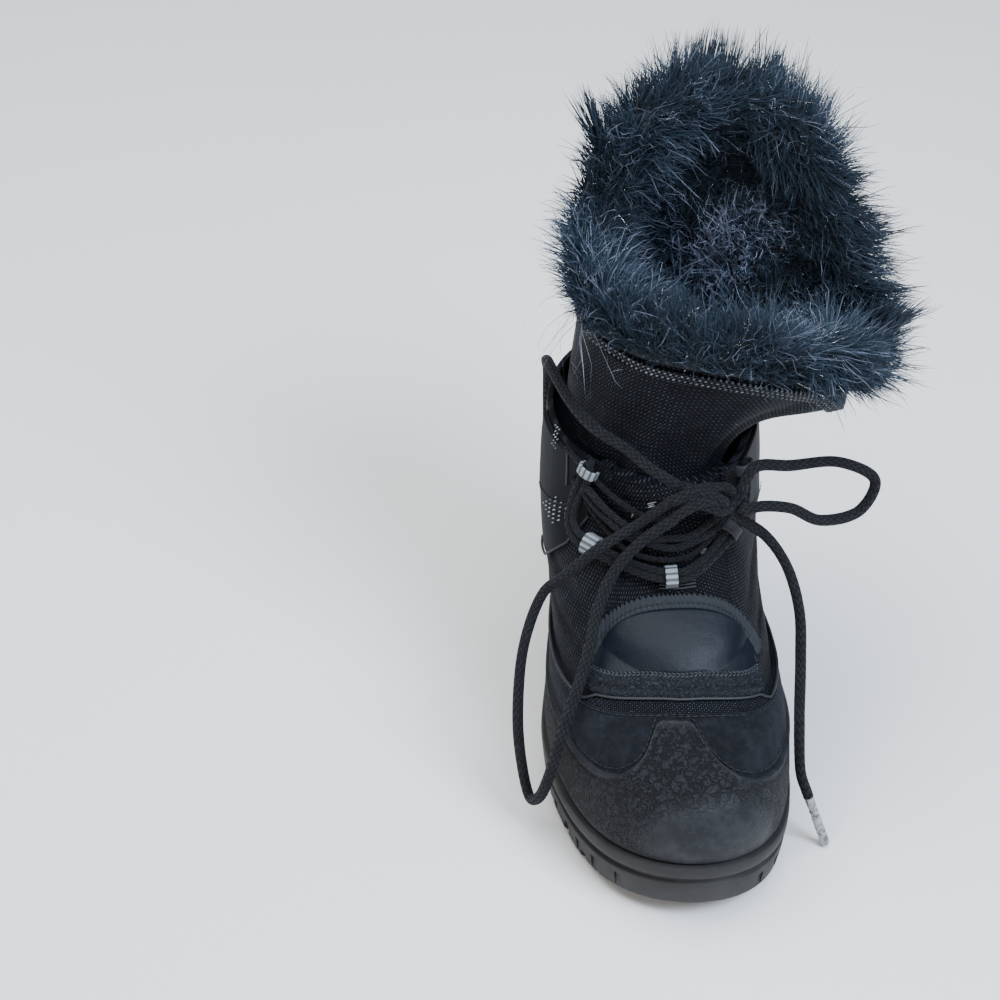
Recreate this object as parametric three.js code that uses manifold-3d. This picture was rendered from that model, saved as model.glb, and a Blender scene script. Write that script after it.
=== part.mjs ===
// Child's winter boot for the right foot, as a maker would put it together: a lugged rubber
// outsole, a moulded rubber shell with a tab over the toe, a suede mudguard, a woven upper that
// is laced over a tongue through webbing loops, a loose woven gaiter and a deep fur collar.
//
// Millimetres. X points to the inner (big toe) side, Y from the toe to the heel, Z up.
// The floor is Z 0. "around" runs once round the boot: 0 at the front, 0.25 on the inner side,
// 0.5 at the heel and 0.75 on the outer side. "level" climbs from the feather line, where upper
// and sole meet, to the seam between upper and gaiter.
import * as THREE from "three";
import { mergeVertices } from "three/addons/utils/BufferGeometryUtils.js";
import Module from "manifold-3d";

const wasm = await Module();
wasm.setup();

// Driving sizes.
const UPPER_LENGTH = 204;
const BALL_WIDTH = 84;
const SEAM_HEIGHT = 99;
const UPPER_WALL = 2.4;
const SHELL_WALL = 2.5;
const SUEDE_WALL = 1.3;
const GAP = 0.3;
const TOE_SOLE = 26;
const BALL_SOLE = 20;
const HEEL_SOLE = 28;
const TOE_SPRING = 7;
const TREAD_DEPTH = 5;
const INSOLE_THICKNESS = 4;
const INSOLE_PLAY = 1.2;
const TONGUE_WALL = 4;
const GAITER_WALL = 2.2;
const RIM_WIDTH = 102;
const RIM_DEPTH = 97;
const RIM_LEAN = 18;
const RIM_BACK = 43;
const GAITER_PUFF = 4;
const FUR_PILE = 20;
const FUR_THICKNESS = 21;
const LACE_WIDTH = 4.8;
const AGLET_LENGTH = 22;
const AGLET_WIDTH = 3.4;
const WEBBING_WIDTH = 6.5;
const WEBBING_THICKNESS = 1.2;
const TAB_WIDTH = 4.5;
const THROAT_WIDTH = 44;

// How finely the skin is divided.
const COLUMNS = 28;
const CROWDING = 0.4;
const ROW_LEVELS = [0, 0.9, 1.9, 3, 4.4, 6, 7.7, 9.4, 11.2, 14];
const GAITER_ROWS = 4;
const INSOLE_COLUMNS = 28;

// Rings of the upper from the feather line to the gaiter seam. front and back are shares of
// UPPER_LENGTH behind the toe, the rises are shares of SEAM_HEIGHT above the feather line,
// width is a share of BALL_WIDTH, and foot says how much of the sole's outline the ring keeps.
const LEVELS = [
  { front: 0.0, frontRise: 0.0, back: 1.0, backRise: 0.0, width: 0.98, side: 0, foot: 1.0 },
  { front: -0.004, frontRise: 0.07, back: 1.008, backRise: 0.095, width: 1.0, side: 0, foot: 1.0 },
  { front: 0.002, frontRise: 0.145, back: 1.01, backRise: 0.19, width: 1.0, side: 0, foot: 0.98 },
  { front: 0.018, frontRise: 0.21, back: 1.008, backRise: 0.275, width: 0.99, side: 0, foot: 0.95 },
  { front: 0.048, frontRise: 0.26, back: 1.003, backRise: 0.355, width: 0.98, side: -0.005, foot: 0.88 },
  { front: 0.092, frontRise: 0.298, back: 0.996, backRise: 0.43, width: 0.975, side: -0.01, foot: 0.78 },
  { front: 0.147, frontRise: 0.333, back: 0.989, backRise: 0.5, width: 0.975, side: -0.02, foot: 0.64 },
  { front: 0.21, frontRise: 0.375, back: 0.984, backRise: 0.57, width: 0.975, side: -0.03, foot: 0.48 },
  { front: 0.274, frontRise: 0.43, back: 0.981, backRise: 0.635, width: 0.98, side: -0.04, foot: 0.32 },
  { front: 0.333, frontRise: 0.504, back: 0.979, backRise: 0.7, width: 0.985, side: -0.048, foot: 0.2 },
  { front: 0.381, frontRise: 0.59, back: 0.978, backRise: 0.765, width: 0.985, side: -0.052, foot: 0.1 },
  { front: 0.42, frontRise: 0.683, back: 0.978, backRise: 0.835, width: 0.98, side: -0.055, foot: 0.04 },
  { front: 0.449, frontRise: 0.784, back: 0.979, backRise: 0.905, width: 0.97, side: -0.055, foot: 0.0 },
  { front: 0.468, frontRise: 0.89, back: 0.981, backRise: 0.97, width: 0.955, side: -0.055, foot: 0.0 },
  { front: 0.479, frontRise: 0.98, back: 0.983, backRise: 1.02, width: 0.94, side: -0.055, foot: 0.0 },
];
const SEAM_LEVEL = LEVELS.length - 1;
const GAITER_FOOT = SEAM_LEVEL - 0.5;
const GAITER_INSET = UPPER_WALL + TONGUE_WALL + 1.6;
const GAITER_FLARE = 1.5;

// The sole's outline against an ellipse, in even steps from toe to heel: how much wider it is,
// and how far its middle line moves to the inner side as a share of BALL_WIDTH.
const FOOT_SWELL = [1.34, 1.21, 1.12, 1.07, 1.0, 0.91, 0.86, 0.88, 0.98, 1.1, 1.18];
const FOOT_LINE = [0.07, 0.055, 0.035, 0.012, -0.012, -0.03, -0.032, -0.02, -0.008, 0, 0];

// The feather line's height from toe to heel, between BALL_SOLE and the sole's two ends.
const FEATHER_TOE = [1, 0.42, 0.1, 0, 0, 0, 0, 0, 0, 0, 0];
const FEATHER_HEEL = [0, 0, 0, 0.02, 0.08, 0.25, 0.5, 0.75, 0.9, 0.98, 1];

const TURN = 2 * Math.PI;
const lerp = THREE.MathUtils.lerp;
const smoothstep = THREE.MathUtils.smoothstep;
const vec = (x, y, z) => new THREE.Vector3(x, y, z);

// Places around the boot, closer together at the toe than at the heel.
function placesAround(count, shift) {
  return Array.from({ length: count }, (_, i) => {
    const even = (i + shift) / count;
    return even - (CROWDING * Math.sin(TURN * even)) / TURN;
  });
}

// A smooth value through evenly spaced ones. at counts from 0 to the last index.
function cubic(values, at) {
  const last = values.length - 1;
  const i = Math.min(Math.max(Math.floor(at), 0), last - 1);
  const t = at - i;
  const b = values[i];
  const c = values[i + 1];
  const a = i > 0 ? values[i - 1] : 2 * b - c;
  const d = i + 2 <= last ? values[i + 2] : 2 * c - b;
  return b + (t * (c - a + t * (2 * a - 5 * b + 4 * c - d + t * (3 * (b - c) + d - a)))) / 2;
}

const column = Object.fromEntries(
  Object.keys(LEVELS[0]).map((key) => [key, LEVELS.map((row) => row[key])]),
);

const shareOf = (values, share) => cubic(values, share * (values.length - 1));

// The height where the upper meets the sole, at a share of the way from toe to heel.
function feather(share) {
  const toe = shareOf(FEATHER_TOE, share) * (TOE_SOLE - BALL_SOLE);
  return BALL_SOLE + toe + shareOf(FEATHER_HEEL, share) * (HEEL_SOLE - BALL_SOLE);
}

function upperPoint(level, around) {
  const back = (1 - Math.cos(TURN * around)) / 2;
  const side = Math.sin(TURN * around);
  const at = (key) => cubic(column[key], level);
  const foot = at("foot");
  const swell = lerp(1, shareOf(FOOT_SWELL, back), foot);
  const middle = foot * shareOf(FOOT_LINE, back) + at("side") * smoothstep(back, 0, 0.3);
  const y = (lerp(at("front"), at("back"), back) - 0.5) * UPPER_LENGTH;
  const ground = lerp(lerp(BALL_SOLE + 3, HEEL_SOLE, back), feather(back), foot);
  const rise = lerp(at("frontRise"), at("backRise"), back) * SEAM_HEIGHT;
  return vec(BALL_WIDTH * (middle + (at("width") / 2) * side * swell), y, ground + rise);
}

// The gaiter's rim: its height at even steps round the boot, from the front over the inner side.
const RIM_HEIGHTS = [165, 153, 142, 206, 224, 218, 178, 168];

function rimPoint(around) {
  const steps = RIM_HEIGHTS.length;
  const looped = [...RIM_HEIGHTS, ...RIM_HEIGHTS, ...RIM_HEIGHTS];
  const z = cubic(looped, steps + (around - Math.floor(around)) * steps);
  const x = RIM_LEAN + (RIM_WIDTH / 2) * Math.sin(TURN * around);
  return vec(x, RIM_BACK - (RIM_DEPTH / 2) * Math.cos(TURN * around), z);
}

// The gaiter's skin: level 0 is its foot inside the upper, 1 is its rim. It climbs steeply out
// of the upper first and flares towards the rim.
const outward = (around) => vec(Math.sin(TURN * around), -Math.cos(TURN * around), 0);
function gaiterPoint(level, around) {
  const foot = upperPoint(GAITER_FOOT, around).addScaledVector(outward(around), -GAITER_INSET);
  const rim = rimPoint(around);
  const flare = Math.max(level, 0) ** GAITER_FLARE;
  return vec(
    lerp(foot.x, rim.x, flare),
    lerp(foot.y, rim.y, flare),
    lerp(foot.z, rim.z, level) + GAITER_PUFF * Math.sin(Math.PI * level),
  );
}

// A skin function with thickness: the point that lies offset outside the surface. Near the
// bottom of the upper it moves level, so that walls of any thickness end on the feather line.
function skinOf(point, flatBelow) {
  return (level, around, offset) => {
    const p = point(level, around);
    const up = point(level + 0.01, around).sub(point(level - 0.01, around));
    const along = point(level, around + 0.001).sub(point(level, around - 0.001));
    const normal = along.cross(up).normalize();
    if (flatBelow) normal.z *= smoothstep(level, 0, flatBelow);
    return p.addScaledVector(normal.normalize(), offset);
  };
}
const upperSkin = skinOf(upperPoint, 1.5);
const gaiterSkin = skinOf(gaiterPoint, 0);

// A closed body from a list of points and a list of triangles, with its faces turned outwards.
function body(points, triangles) {
  let volume = 0;
  for (const [a, b, c] of triangles)
    volume += points[a].dot(vec(0, 0, 0).crossVectors(points[b], points[c]));
  const faces = volume > 0 ? triangles : triangles.map(([a, b, c]) => [a, c, b]);
  const geometry = new THREE.BufferGeometry();
  const places = new Float32Array(points.flatMap((p) => [p.x, p.y, p.z]));
  geometry.setAttribute("position", new THREE.BufferAttribute(places, 3));
  geometry.setIndex(faces.flat());
  return geometry;
}

// Two triangles for one quad of a grid. Sections climb in their first half and fall in their
// second one, and the split keeps the two sides of a wall alike.
function splitQuad(a, b, c, d, climbing) {
  return climbing
    ? [
        [a, b, c],
        [a, c, d],
      ]
    : [
        [a, b, d],
        [b, c, d],
      ];
}

// A grid of points as a closed body: wrapped in both directions, so that rows of a section
// follow each other round a ring.
function wrappedGrid(grid) {
  const points = grid.flat();
  const rows = grid.length;
  const across = grid[0].length;
  const triangles = [];
  for (let i = 0; i < rows; i++)
    for (let j = 0; j < across; j++) {
      const a = i * across + j;
      const b = i * across + ((j + 1) % across);
      const c = ((i + 1) % rows) * across + ((j + 1) % across);
      const d = ((i + 1) % rows) * across + j;
      triangles.push(...splitQuad(a, b, c, d, j < across / 2));
    }
  return body(points, triangles);
}

// Sections of equal size, one after another, with a flat cap on each end.
function cappedGrid(sections) {
  const points = sections.flat();
  const across = sections[0].length;
  const last = (sections.length - 1) * across;
  const triangles = [];
  for (let i = 0; i < sections.length - 1; i++)
    for (let j = 0; j < across; j++) {
      const a = i * across + j;
      const b = i * across + ((j + 1) % across);
      triangles.push(...splitQuad(a, b, b + across, a + across, j < across / 2));
    }
  // The caps run as a ladder between points that lie opposite each other.
  for (let j = 0; j < across / 2 - 1; j++) {
    const k = across - 1 - j;
    triangles.push([j, k, j + 1], [j + 1, k, k - 1]);
    triangles.push([last + j, last + j + 1, last + k], [last + j + 1, last + k - 1, last + k]);
  }
  return body(points, triangles);
}

// The section of a wall at one place around: up its outside and down its inside.
function wallSection(skin, around, levels, inner, outer) {
  const outside = levels.map((level) => skin(level, around, outer));
  const inside = levels.map((level) => skin(level, around, inner));
  return [...outside, ...inside.reverse()];
}

const evenLevels = (low, high, rows) =>
  Array.from({ length: rows + 1 }, (_, i) => lerp(low, high, i / rows));

// A wall that runs all round the boot. levelsAt gives its rows at one place around.
function ringWall(skin, levelsAt, inner, outer) {
  return wrappedGrid(
    placesAround(COLUMNS, 0).map((around) =>
      wallSection(skin, around, levelsAt(around), inner, outer),
    ),
  );
}

// A wall from one place around to another.
function patchWall(skin, from, to, columns, levelsAt, inner, outer) {
  return cappedGrid(
    Array.from({ length: columns + 1 }, (_, i) => {
      const around = lerp(from, to, i / columns);
      return wallSection(skin, around, levelsAt(around), inner, outer);
    }),
  );
}

// Booleans on closed bodies.
function solid(geometry) {
  const bare = geometry.clone();
  bare.deleteAttribute("normal");
  bare.deleteAttribute("uv");
  const merged = mergeVertices(bare, 1e-4);
  return new wasm.Manifold(
    new wasm.Mesh({
      numProp: 3,
      vertProperties: merged.attributes.position.array,
      triVerts: new Uint32Array(merged.index.array),
    }),
  );
}

function geometryOf(manifold) {
  const mesh = manifold.getMesh();
  const geometry = new THREE.BufferGeometry();
  geometry.setAttribute("position", new THREE.BufferAttribute(mesh.vertProperties, 3));
  geometry.setIndex(new THREE.BufferAttribute(mesh.triVerts, 1));
  return geometry;
}

const wrap = (around) => around - Math.round(around);
// How far a place around is from the front, as the half-width of a feature there.
const nearFront = (around) => Math.abs(wrap(around));
const nearHeel = (around) => Math.abs(wrap(around - 0.5));

// The rubber shell's upper edge: a tab over the toe, a low side and a taller heel counter.
const SHELL_SIDE = 3.0;
const SHELL_TAB = 6.3;
const SHELL_HEEL = 4.9;
const TAB_TOP = 0.026;
const TAB_FOOT = 0.088;
function shellEdge(around) {
  const tab = 1 - smoothstep(nearFront(around), TAB_TOP, TAB_FOOT);
  const shoulder = 0.75 * (1 - smoothstep(nearFront(around), TAB_FOOT, 0.19));
  const heel = 1 - smoothstep(nearHeel(around), 0.1, 0.2);
  const side = SHELL_SIDE + shoulder;
  return side + tab * (SHELL_TAB - side) + heel * (SHELL_HEEL - SHELL_SIDE);
}

// The seam on top of the suede mudguard: high over the toes, low on the sides.
const MUDGUARD_FRONT = 6.65;
const MUDGUARD_SIDE = 5.0;
const MUDGUARD_HEEL = 6.4;
function mudguardEdge(around) {
  const front = 1 - smoothstep(nearFront(around), 0.07, 0.2);
  const heel = 1 - smoothstep(nearHeel(around), 0.08, 0.2);
  return (
    MUDGUARD_SIDE +
    front * (MUDGUARD_FRONT - MUDGUARD_SIDE) +
    heel * (MUDGUARD_HEEL - MUDGUARD_SIDE)
  );
}

const materials = {
  rubber: new THREE.MeshStandardMaterial({ color: 0x1b1c1f, roughness: 0.75 }),
  shell_rubber: new THREE.MeshStandardMaterial({ color: 0x1d1f24, roughness: 0.62 }),
  suede: new THREE.MeshStandardMaterial({ color: 0x0b0c10, roughness: 0.95 }),
  woven_nylon: new THREE.MeshStandardMaterial({ color: 0x101218, roughness: 0.7 }),
  smooth_leather: new THREE.MeshStandardMaterial({ color: 0x12151c, roughness: 0.45 }),
  fur: new THREE.MeshStandardMaterial({ color: 0x141a26, roughness: 0.9 }),
  lace: new THREE.MeshStandardMaterial({ color: 0x0d0e12, roughness: 0.85 }),
  webbing: new THREE.MeshStandardMaterial({ color: 0xb9bdc6, roughness: 0.6 }),
  aglet: new THREE.MeshStandardMaterial({ color: 0x8d8f94, roughness: 0.3 }),
  felt: new THREE.MeshStandardMaterial({ color: 0x1a1c20, roughness: 1 }),
};

const boot = new THREE.Group();
function add(name, geometry, material) {
  const mesh = new THREE.Mesh(geometry, materials[material]);
  mesh.name = name;
  boot.add(mesh);
}

// The outsole: rings of the feather line's outline, each at its own height and overhang.
// rise is a share of the height between tread and feather line.
const SOLE_OVERHANG = GAP + SHELL_WALL + 0.4;
const SOLE_STEPS = [
  { rise: 0.0, out: -1.6 },
  { rise: 0.1, out: -0.2 },
  { rise: 0.58, out: 0.9 },
  { rise: 0.64, out: -0.4 },
  { rise: 0.7, out: -0.4 },
  { rise: 0.76, out: 1.4 },
  { rise: 0.95, out: 1.5 },
  { rise: 1.0, out: 0.4 },
];

// The tread's height from toe to heel: it curls up under the toe and is flat behind it.
const SPRING_END = 0.24;
function tread(share) {
  return TOE_SPRING * Math.max(0, 1 - share / SPRING_END) ** 2;
}

function soleRing({ rise, out }) {
  // Half a step in, so that every point has one opposite it for the ladder of the caps.
  return placesAround(COLUMNS, 0.5).map((around) => {
    const share = (1 - Math.cos(TURN * around)) / 2;
    const p = upperSkin(0, around, SOLE_OVERHANG + out);
    const top = feather(share) - GAP;
    return vec(p.x, p.y, lerp(tread(share), top, rise));
  });
}

// Rows of lugs: grooves that run in from each side, and the waist in front of the heel.
const GROOVE_WIDTH = 4.6;
const GROOVES = [
  { from: 0.13, to: 0.47, count: 5, reach: 0.55, turn: 0.22 },
  { from: 0.74, to: 0.9, count: 3, reach: 0.5, turn: -0.12 },
];
const WAIST_FROM = 0.53;
const WAIST_TO = 0.68;
const SPINE_HALF = 0.1;

function boxCutter(width, depth, height, x, y, z, turn) {
  const box = new THREE.BoxGeometry(width, depth, height);
  box.rotateZ(turn);
  box.translate(x, y, z);
  return solid(box);
}

function outsole() {
  let sole = solid(cappedGrid(SOLE_STEPS.map(soleRing)));
  for (const row of GROOVES)
    for (let i = 0; i < row.count; i++)
      for (const side of [-1, 1]) {
        const share = lerp(row.from, row.to, i / (row.count - 1));
        const length = BALL_WIDTH * row.reach;
        const x = side * (SPINE_HALF * BALL_WIDTH + length / 2);
        const y = (share - 0.5) * UPPER_LENGTH;
        const z = tread(share);
        const turn = -side * row.turn;
        const height = 2 * TREAD_DEPTH;
        sole = sole.subtract(boxCutter(length, GROOVE_WIDTH, height, x, y, z, turn));
      }
  const waistLength = (WAIST_TO - WAIST_FROM) * UPPER_LENGTH;
  const waistMiddle = ((WAIST_TO + WAIST_FROM) / 2 - 0.5) * UPPER_LENGTH;
  const waist = boxCutter(2 * BALL_WIDTH, waistLength, 2 * TREAD_DEPTH, 0, waistMiddle, 0, 0);
  return geometryOf(sole.subtract(waist));
}
add("outsole", outsole(), "rubber");

function insole() {
  const inset = -(UPPER_WALL + INSOLE_PLAY);
  const ring = (lift) =>
    placesAround(INSOLE_COLUMNS, 0.5).map((around) => {
      const p = upperSkin(0, around, inset);
      return vec(p.x, p.y, feather((1 - Math.cos(TURN * around)) / 2) + lift);
    });
  return cappedGrid([ring(0), ring(INSOLE_THICKNESS)]);
}
add("insole", insole(), "felt");

// Everything on the upper is cut out of one more form with the upper's own rows and columns,
// so that the layers follow each other facet by facet.
const formOver = (inner, outer) => solid(ringWall(upperSkin, () => ROW_LEVELS, inner, outer));

const DEEP = -6;
const PROUD = 7;
const REGION_ROWS = 4;
const regionRing = (low, high) =>
  solid(
    ringWall(
      upperSkin,
      (around) => evenLevels(low(around), high(around), REGION_ROWS),
      DEEP,
      PROUD,
    ),
  );
const regionPatch = (from, to, low, high) =>
  solid(
    patchWall(
      upperSkin,
      from,
      to,
      14,
      (around) => evenLevels(low(around), high(around), REGION_ROWS),
      DEEP,
      PROUD,
    ),
  );

// The throat, open from above the saddle to the gaiter seam, and the tongue behind it.
const THROAT_LEVEL = 10.4;
const THROAT_ROUND = 2.2;
const throatHalf = (() => {
  const span = upperPoint(12, 0.25).x - upperPoint(12, 0.75).x;
  return Math.asin(THROAT_WIDTH / span) / TURN;
})();
const throatRegion = (half, low, high, round) =>
  regionPatch(-half, half, (around) => low + round * (around / half) ** 2, () => high);

const throat = throatRegion(throatHalf, THROAT_LEVEL, SEAM_LEVEL + 0.6, THROAT_ROUND);
add("upper", geometryOf(formOver(-UPPER_WALL, 0).subtract(throat)), "woven_nylon");

// The tongue reaches past the throat on the inside, and its padding fills the throat.
const TONGUE_REACH = 1.3;
const TONGUE_LEVEL = 9.4;
function tongue() {
  const under = -(UPPER_WALL + GAP);
  const top = SEAM_LEVEL - 0.1;
  const sheet = throatRegion(throatHalf * TONGUE_REACH, TONGUE_LEVEL, top, 0);
  const window = throatRegion(throatHalf * 0.9, THROAT_LEVEL + 0.3, top, THROAT_ROUND);
  const flat = formOver(under - TONGUE_WALL, under).intersect(sheet);
  return geometryOf(flat.add(formOver(under - 1, -GAP).intersect(window)));
}
add("tongue", tongue(), "woven_nylon");

const EDGE_GAP = 0.07;
const plus = (edge, more) => (around) => edge(around) + more;
const below = (edge) => regionRing(() => -0.5, edge);
const between = (low, high) => below(high).subtract(below(plus(low, EDGE_GAP)));
function addLayer(name, material, wall, region) {
  add(name, geometryOf(formOver(GAP, GAP + wall).intersect(region)), material);
}
addLayer("rubber_shell", "shell_rubber", SHELL_WALL, below(shellEdge));
addLayer("mudguard", "suede", SUEDE_WALL, between(shellEdge, mudguardEdge));

const PIPING_LEVELS = 0.5;
const pipingEdge = plus(mudguardEdge, PIPING_LEVELS);

// The padded strip and the smooth saddle that close the throat at the front.
const FRONT_HALF = 0.12;
const STRIP_HIGH = 7.9;
const STRIP_WALL = 2;
const SADDLE_HIGH = 9.6;
const SADDLE_END = 0.2;
const SADDLE_WALL = 1.5;
const BAND_WALL = 1;
const stripEdge = () => STRIP_HIGH;
function archEdge(around, half, high) {
  const share = wrap(around) / half;
  return lerp(STRIP_HIGH + SADDLE_END, high, Math.sqrt(Math.max(1 - share ** 2, 0)));
}
const saddleEdge = (around) => archEdge(around, FRONT_HALF, SADDLE_HIGH);
const front = regionPatch(-FRONT_HALF, FRONT_HALF, () => 6, () => 11);
addLayer("padded_strip", "smooth_leather", STRIP_WALL, between(pipingEdge, stripEdge).intersect(front));
addLayer("saddle", "smooth_leather", SADDLE_WALL, between(stripEdge, saddleEdge).intersect(front));

// A band with a pinked edge that follows the saddle's arch.
const BAND_LEVELS = 0.5;
const BAND_SPREAD = 0.018;
const bandEdge = (around) => archEdge(around, FRONT_HALF + BAND_SPREAD, SADDLE_HIGH + BAND_LEVELS);
const bandEnd = FRONT_HALF + BAND_SPREAD;
const bandFront = regionPatch(-bandEnd, bandEnd, () => stripEdge() + 2 * EDGE_GAP, () => 11);
const underBand = below((around) => Math.max(saddleEdge(around), stripEdge()) + EDGE_GAP);
const band = below(bandEdge).subtract(underBand).intersect(bandFront);
addLayer("pinked_band", "suede", BAND_WALL, band);

// Smooth wings beside the lacing, one on each side, under the webbing loops.
const WING_FROM = 0.128;
const WING_TO = 0.235;
const WING_TIP = 12.2;
const WING_FOOT = 10.4;
function wing(side) {
  const low = (around) => {
    const share = (Math.abs(around) - WING_FROM) / (WING_TO - WING_FROM);
    return lerp(WING_TIP, WING_FOOT, Math.sqrt(Math.max(share, 0)));
  };
  return regionPatch(side * WING_FROM, side * WING_TO, low, () => SEAM_LEVEL - 0.15);
}
addLayer("wing_outer", "smooth_leather", SUEDE_WALL, wing(-1));
addLayer("wing_inner", "smooth_leather", SUEDE_WALL, wing(1));

const gaiter = ringWall(gaiterSkin, () => evenLevels(0, 1, GAITER_ROWS), -GAITER_WALL, 0);
add("gaiter", gaiter, "woven_nylon");

// The fur collar: a thick roll over the gaiter's rim with a lining that hangs inside it.
// out is a share of FUR_THICKNESS from the rim, up is a share of FUR_PILE beyond it.
const ROLL = [
  { out: 0.08, up: 0.04 },
  { out: 0.3, up: 0.14 },
  { out: 0.36, up: 0.5 },
  { out: 0.2, up: 0.85 },
  { out: -0.15, up: 1.02 },
  { out: -0.52, up: 0.95 },
  { out: -0.82, up: 0.6 },
  { out: -0.92, up: 0.05 },
];
const LINING_THICKNESS = 8;
const LINING_ROWS = 2;
const RIM_SEAT = 0.012;
const RIM_UPRIGHT = 0.8;

// The frame of the rim at one place: its middle, the way out of the wall and the way up it.
function rimFrame(around) {
  const at = gaiterSkin(1, around, 0);
  const out = gaiterSkin(1, around, 1).sub(at);
  const climb = gaiterSkin(1.02, around, 0).sub(gaiterSkin(0.98, around, 0)).normalize();
  const up = climb.add(vec(0, 0, RIM_UPRIGHT)).normalize();
  return { at, out, up, side: vec(0, 0, 0).crossVectors(out, up) };
}
const fromRim = ({ at, out, up }, shareOut, shareUp) =>
  at
    .clone()
    .addScaledVector(out, shareOut * FUR_THICKNESS)
    .addScaledVector(up, shareUp * FUR_PILE);

function furSection(around) {
  const frame = rimFrame(around);
  const roll = ROLL.map((p) => fromRim(frame, p.out, p.up));
  // The lining lies against the gaiter's own rows.
  const inside = -(GAITER_WALL + GAP);
  const levels = Array.from({ length: LINING_ROWS + 1 }, (_, i) => 1 - i / GAITER_ROWS);
  const wall = levels.map((level) => gaiterSkin(level, around, inside));
  const deep = gaiterSkin(levels[LINING_ROWS], around, inside - LINING_THICKNESS);
  return [...wall.reverse(), gaiterSkin(1 + RIM_SEAT, around, inside), ...roll, deep];
}

// Locks of hair that stand out of the roll. Every second one hangs out over the rim instead.
const LOCKS = 28;
const LOCK_WIDTH = 0.2;
function lock(i) {
  const frame = rimFrame(i / LOCKS);
  const hanging = i % 2 === 1;
  const wave = Math.sin(5 * i) * Math.cos(3 * i);
  const root = hanging ? fromRim(frame, 0.1, 0.45) : fromRim(frame, -0.2 - 0.12 * wave, 0.72);
  const length = FUR_PILE * (hanging ? 0.62 : 0.85 + 0.35 * wave);
  const lean = hanging ? 2.2 : 0.35 + 0.3 * Math.sin(2.3 * i);
  const direction = frame.up.clone();
  direction.addScaledVector(frame.out, lean);
  direction.addScaledVector(frame.side, 0.35 * Math.cos(1.7 * i)).normalize();
  const cone = new THREE.ConeGeometry(FUR_PILE * LOCK_WIDTH, length, 5);
  cone.translate(0, length / 2, 0);
  cone.applyQuaternion(new THREE.Quaternion().setFromUnitVectors(vec(0, 1, 0), direction));
  cone.translate(root.x, root.y, root.z);
  return cone;
}

function furCollar() {
  let fur = solid(wrappedGrid(placesAround(COLUMNS, 0).map(furSection)));
  for (let i = 0; i < LOCKS; i++) fur = fur.add(solid(lock(i)));
  return geometryOf(fur);
}
add("fur_collar", furCollar(), "fur");

// A cord or bar through points given in millimetres.
const CORD_SIDES = 8;
function cordAlong(points, width, steps) {
  const corners = Array.from({ length: CORD_SIDES }, (_, i) => {
    const turn = (TURN * i) / CORD_SIDES;
    return new THREE.Vector2((width / 2) * Math.cos(turn), (width / 2) * Math.sin(turn));
  });
  const path = new THREE.CatmullRomCurve3(points, false, "centripetal");
  return new THREE.ExtrudeGeometry(new THREE.Shape(corners), { extrudePath: path, steps });
}

// The lacing lies this high over the upper. Each row names places on the upper's skin.
const LACE_HEIGHT = LACE_WIDTH / 2 + 2;
const LACING = [
  {
    steps: 24,
    places: [
      { around: -0.106, level: 14.3 },
      { around: -0.116, level: 13.3 },
      { around: -0.128, level: 12.2 },
      { around: -0.132, level: 11.4 },
      { around: -0.12, level: 11.0 },
      { around: -0.065, level: 10.9 },
      { around: -0.02, level: 10.75 },
      { around: 0.0, level: 10.72 },
      { around: 0.02, level: 10.75 },
      { around: 0.065, level: 11.4 },
      { around: 0.105, level: 12.15 },
      { around: 0.116, level: 12.7 },
      { around: 0.112, level: 14.2 },
    ],
  },
  {
    steps: 14,
    places: [
      { around: -0.1185, level: 13.0 },
      { around: -0.085, level: 12.35 },
      { around: -0.04, level: 11.9 },
      { around: 0.015, level: 11.85 },
      { around: 0.065, level: 12.35 },
      { around: 0.1, level: 12.95 },
      { around: 0.1145, level: 13.2 },
    ],
  },
];

const onUpper = ({ around, level }, height) => upperSkin(level, around, height);

function laceCrossings() {
  let bars = null;
  for (const row of LACING) {
    const points = row.places.map((place) => onUpper(place, LACE_HEIGHT));
    const bar = solid(cordAlong(points, LACE_WIDTH, row.steps));
    bars = bars ? bars.add(bar) : bar;
  }
  return geometryOf(bars);
}
add("lace_crossings", laceCrossings(), "lace");

// Webbing loops: arches that stand on the upper, each astride the lace. towards is the place
// that the lace heads for there, and lift raises the feet over the wings.
const LOOPS = [
  {
    name: "loop_outer_low",
    at: { around: -0.105, level: 10.98 },
    towards: { around: -0.065, level: 10.9 },
    lift: 1,
    width: WEBBING_WIDTH,
  },
  {
    name: "loop_outer_high",
    at: { around: -0.1125, level: 13.7 },
    towards: { around: -0.106, level: 14.3 },
    lift: 2.2,
    width: WEBBING_WIDTH,
  },
  {
    name: "loop_inner_low",
    at: { around: 0.085, level: 11.78 },
    towards: { around: 0.105, level: 12.15 },
    lift: 1.5,
    width: WEBBING_WIDTH,
  },
  {
    name: "loop_inner_high",
    at: { around: 0.114, level: 13.85 },
    towards: { around: 0.112, level: 14.2 },
    lift: 2.2,
    width: WEBBING_WIDTH,
  },
  {
    name: "loop_middle",
    at: { around: 0, level: 10.72 },
    towards: { around: 0.02, level: 10.73 },
    lift: 1,
    width: TAB_WIDTH,
  },
];

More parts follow.
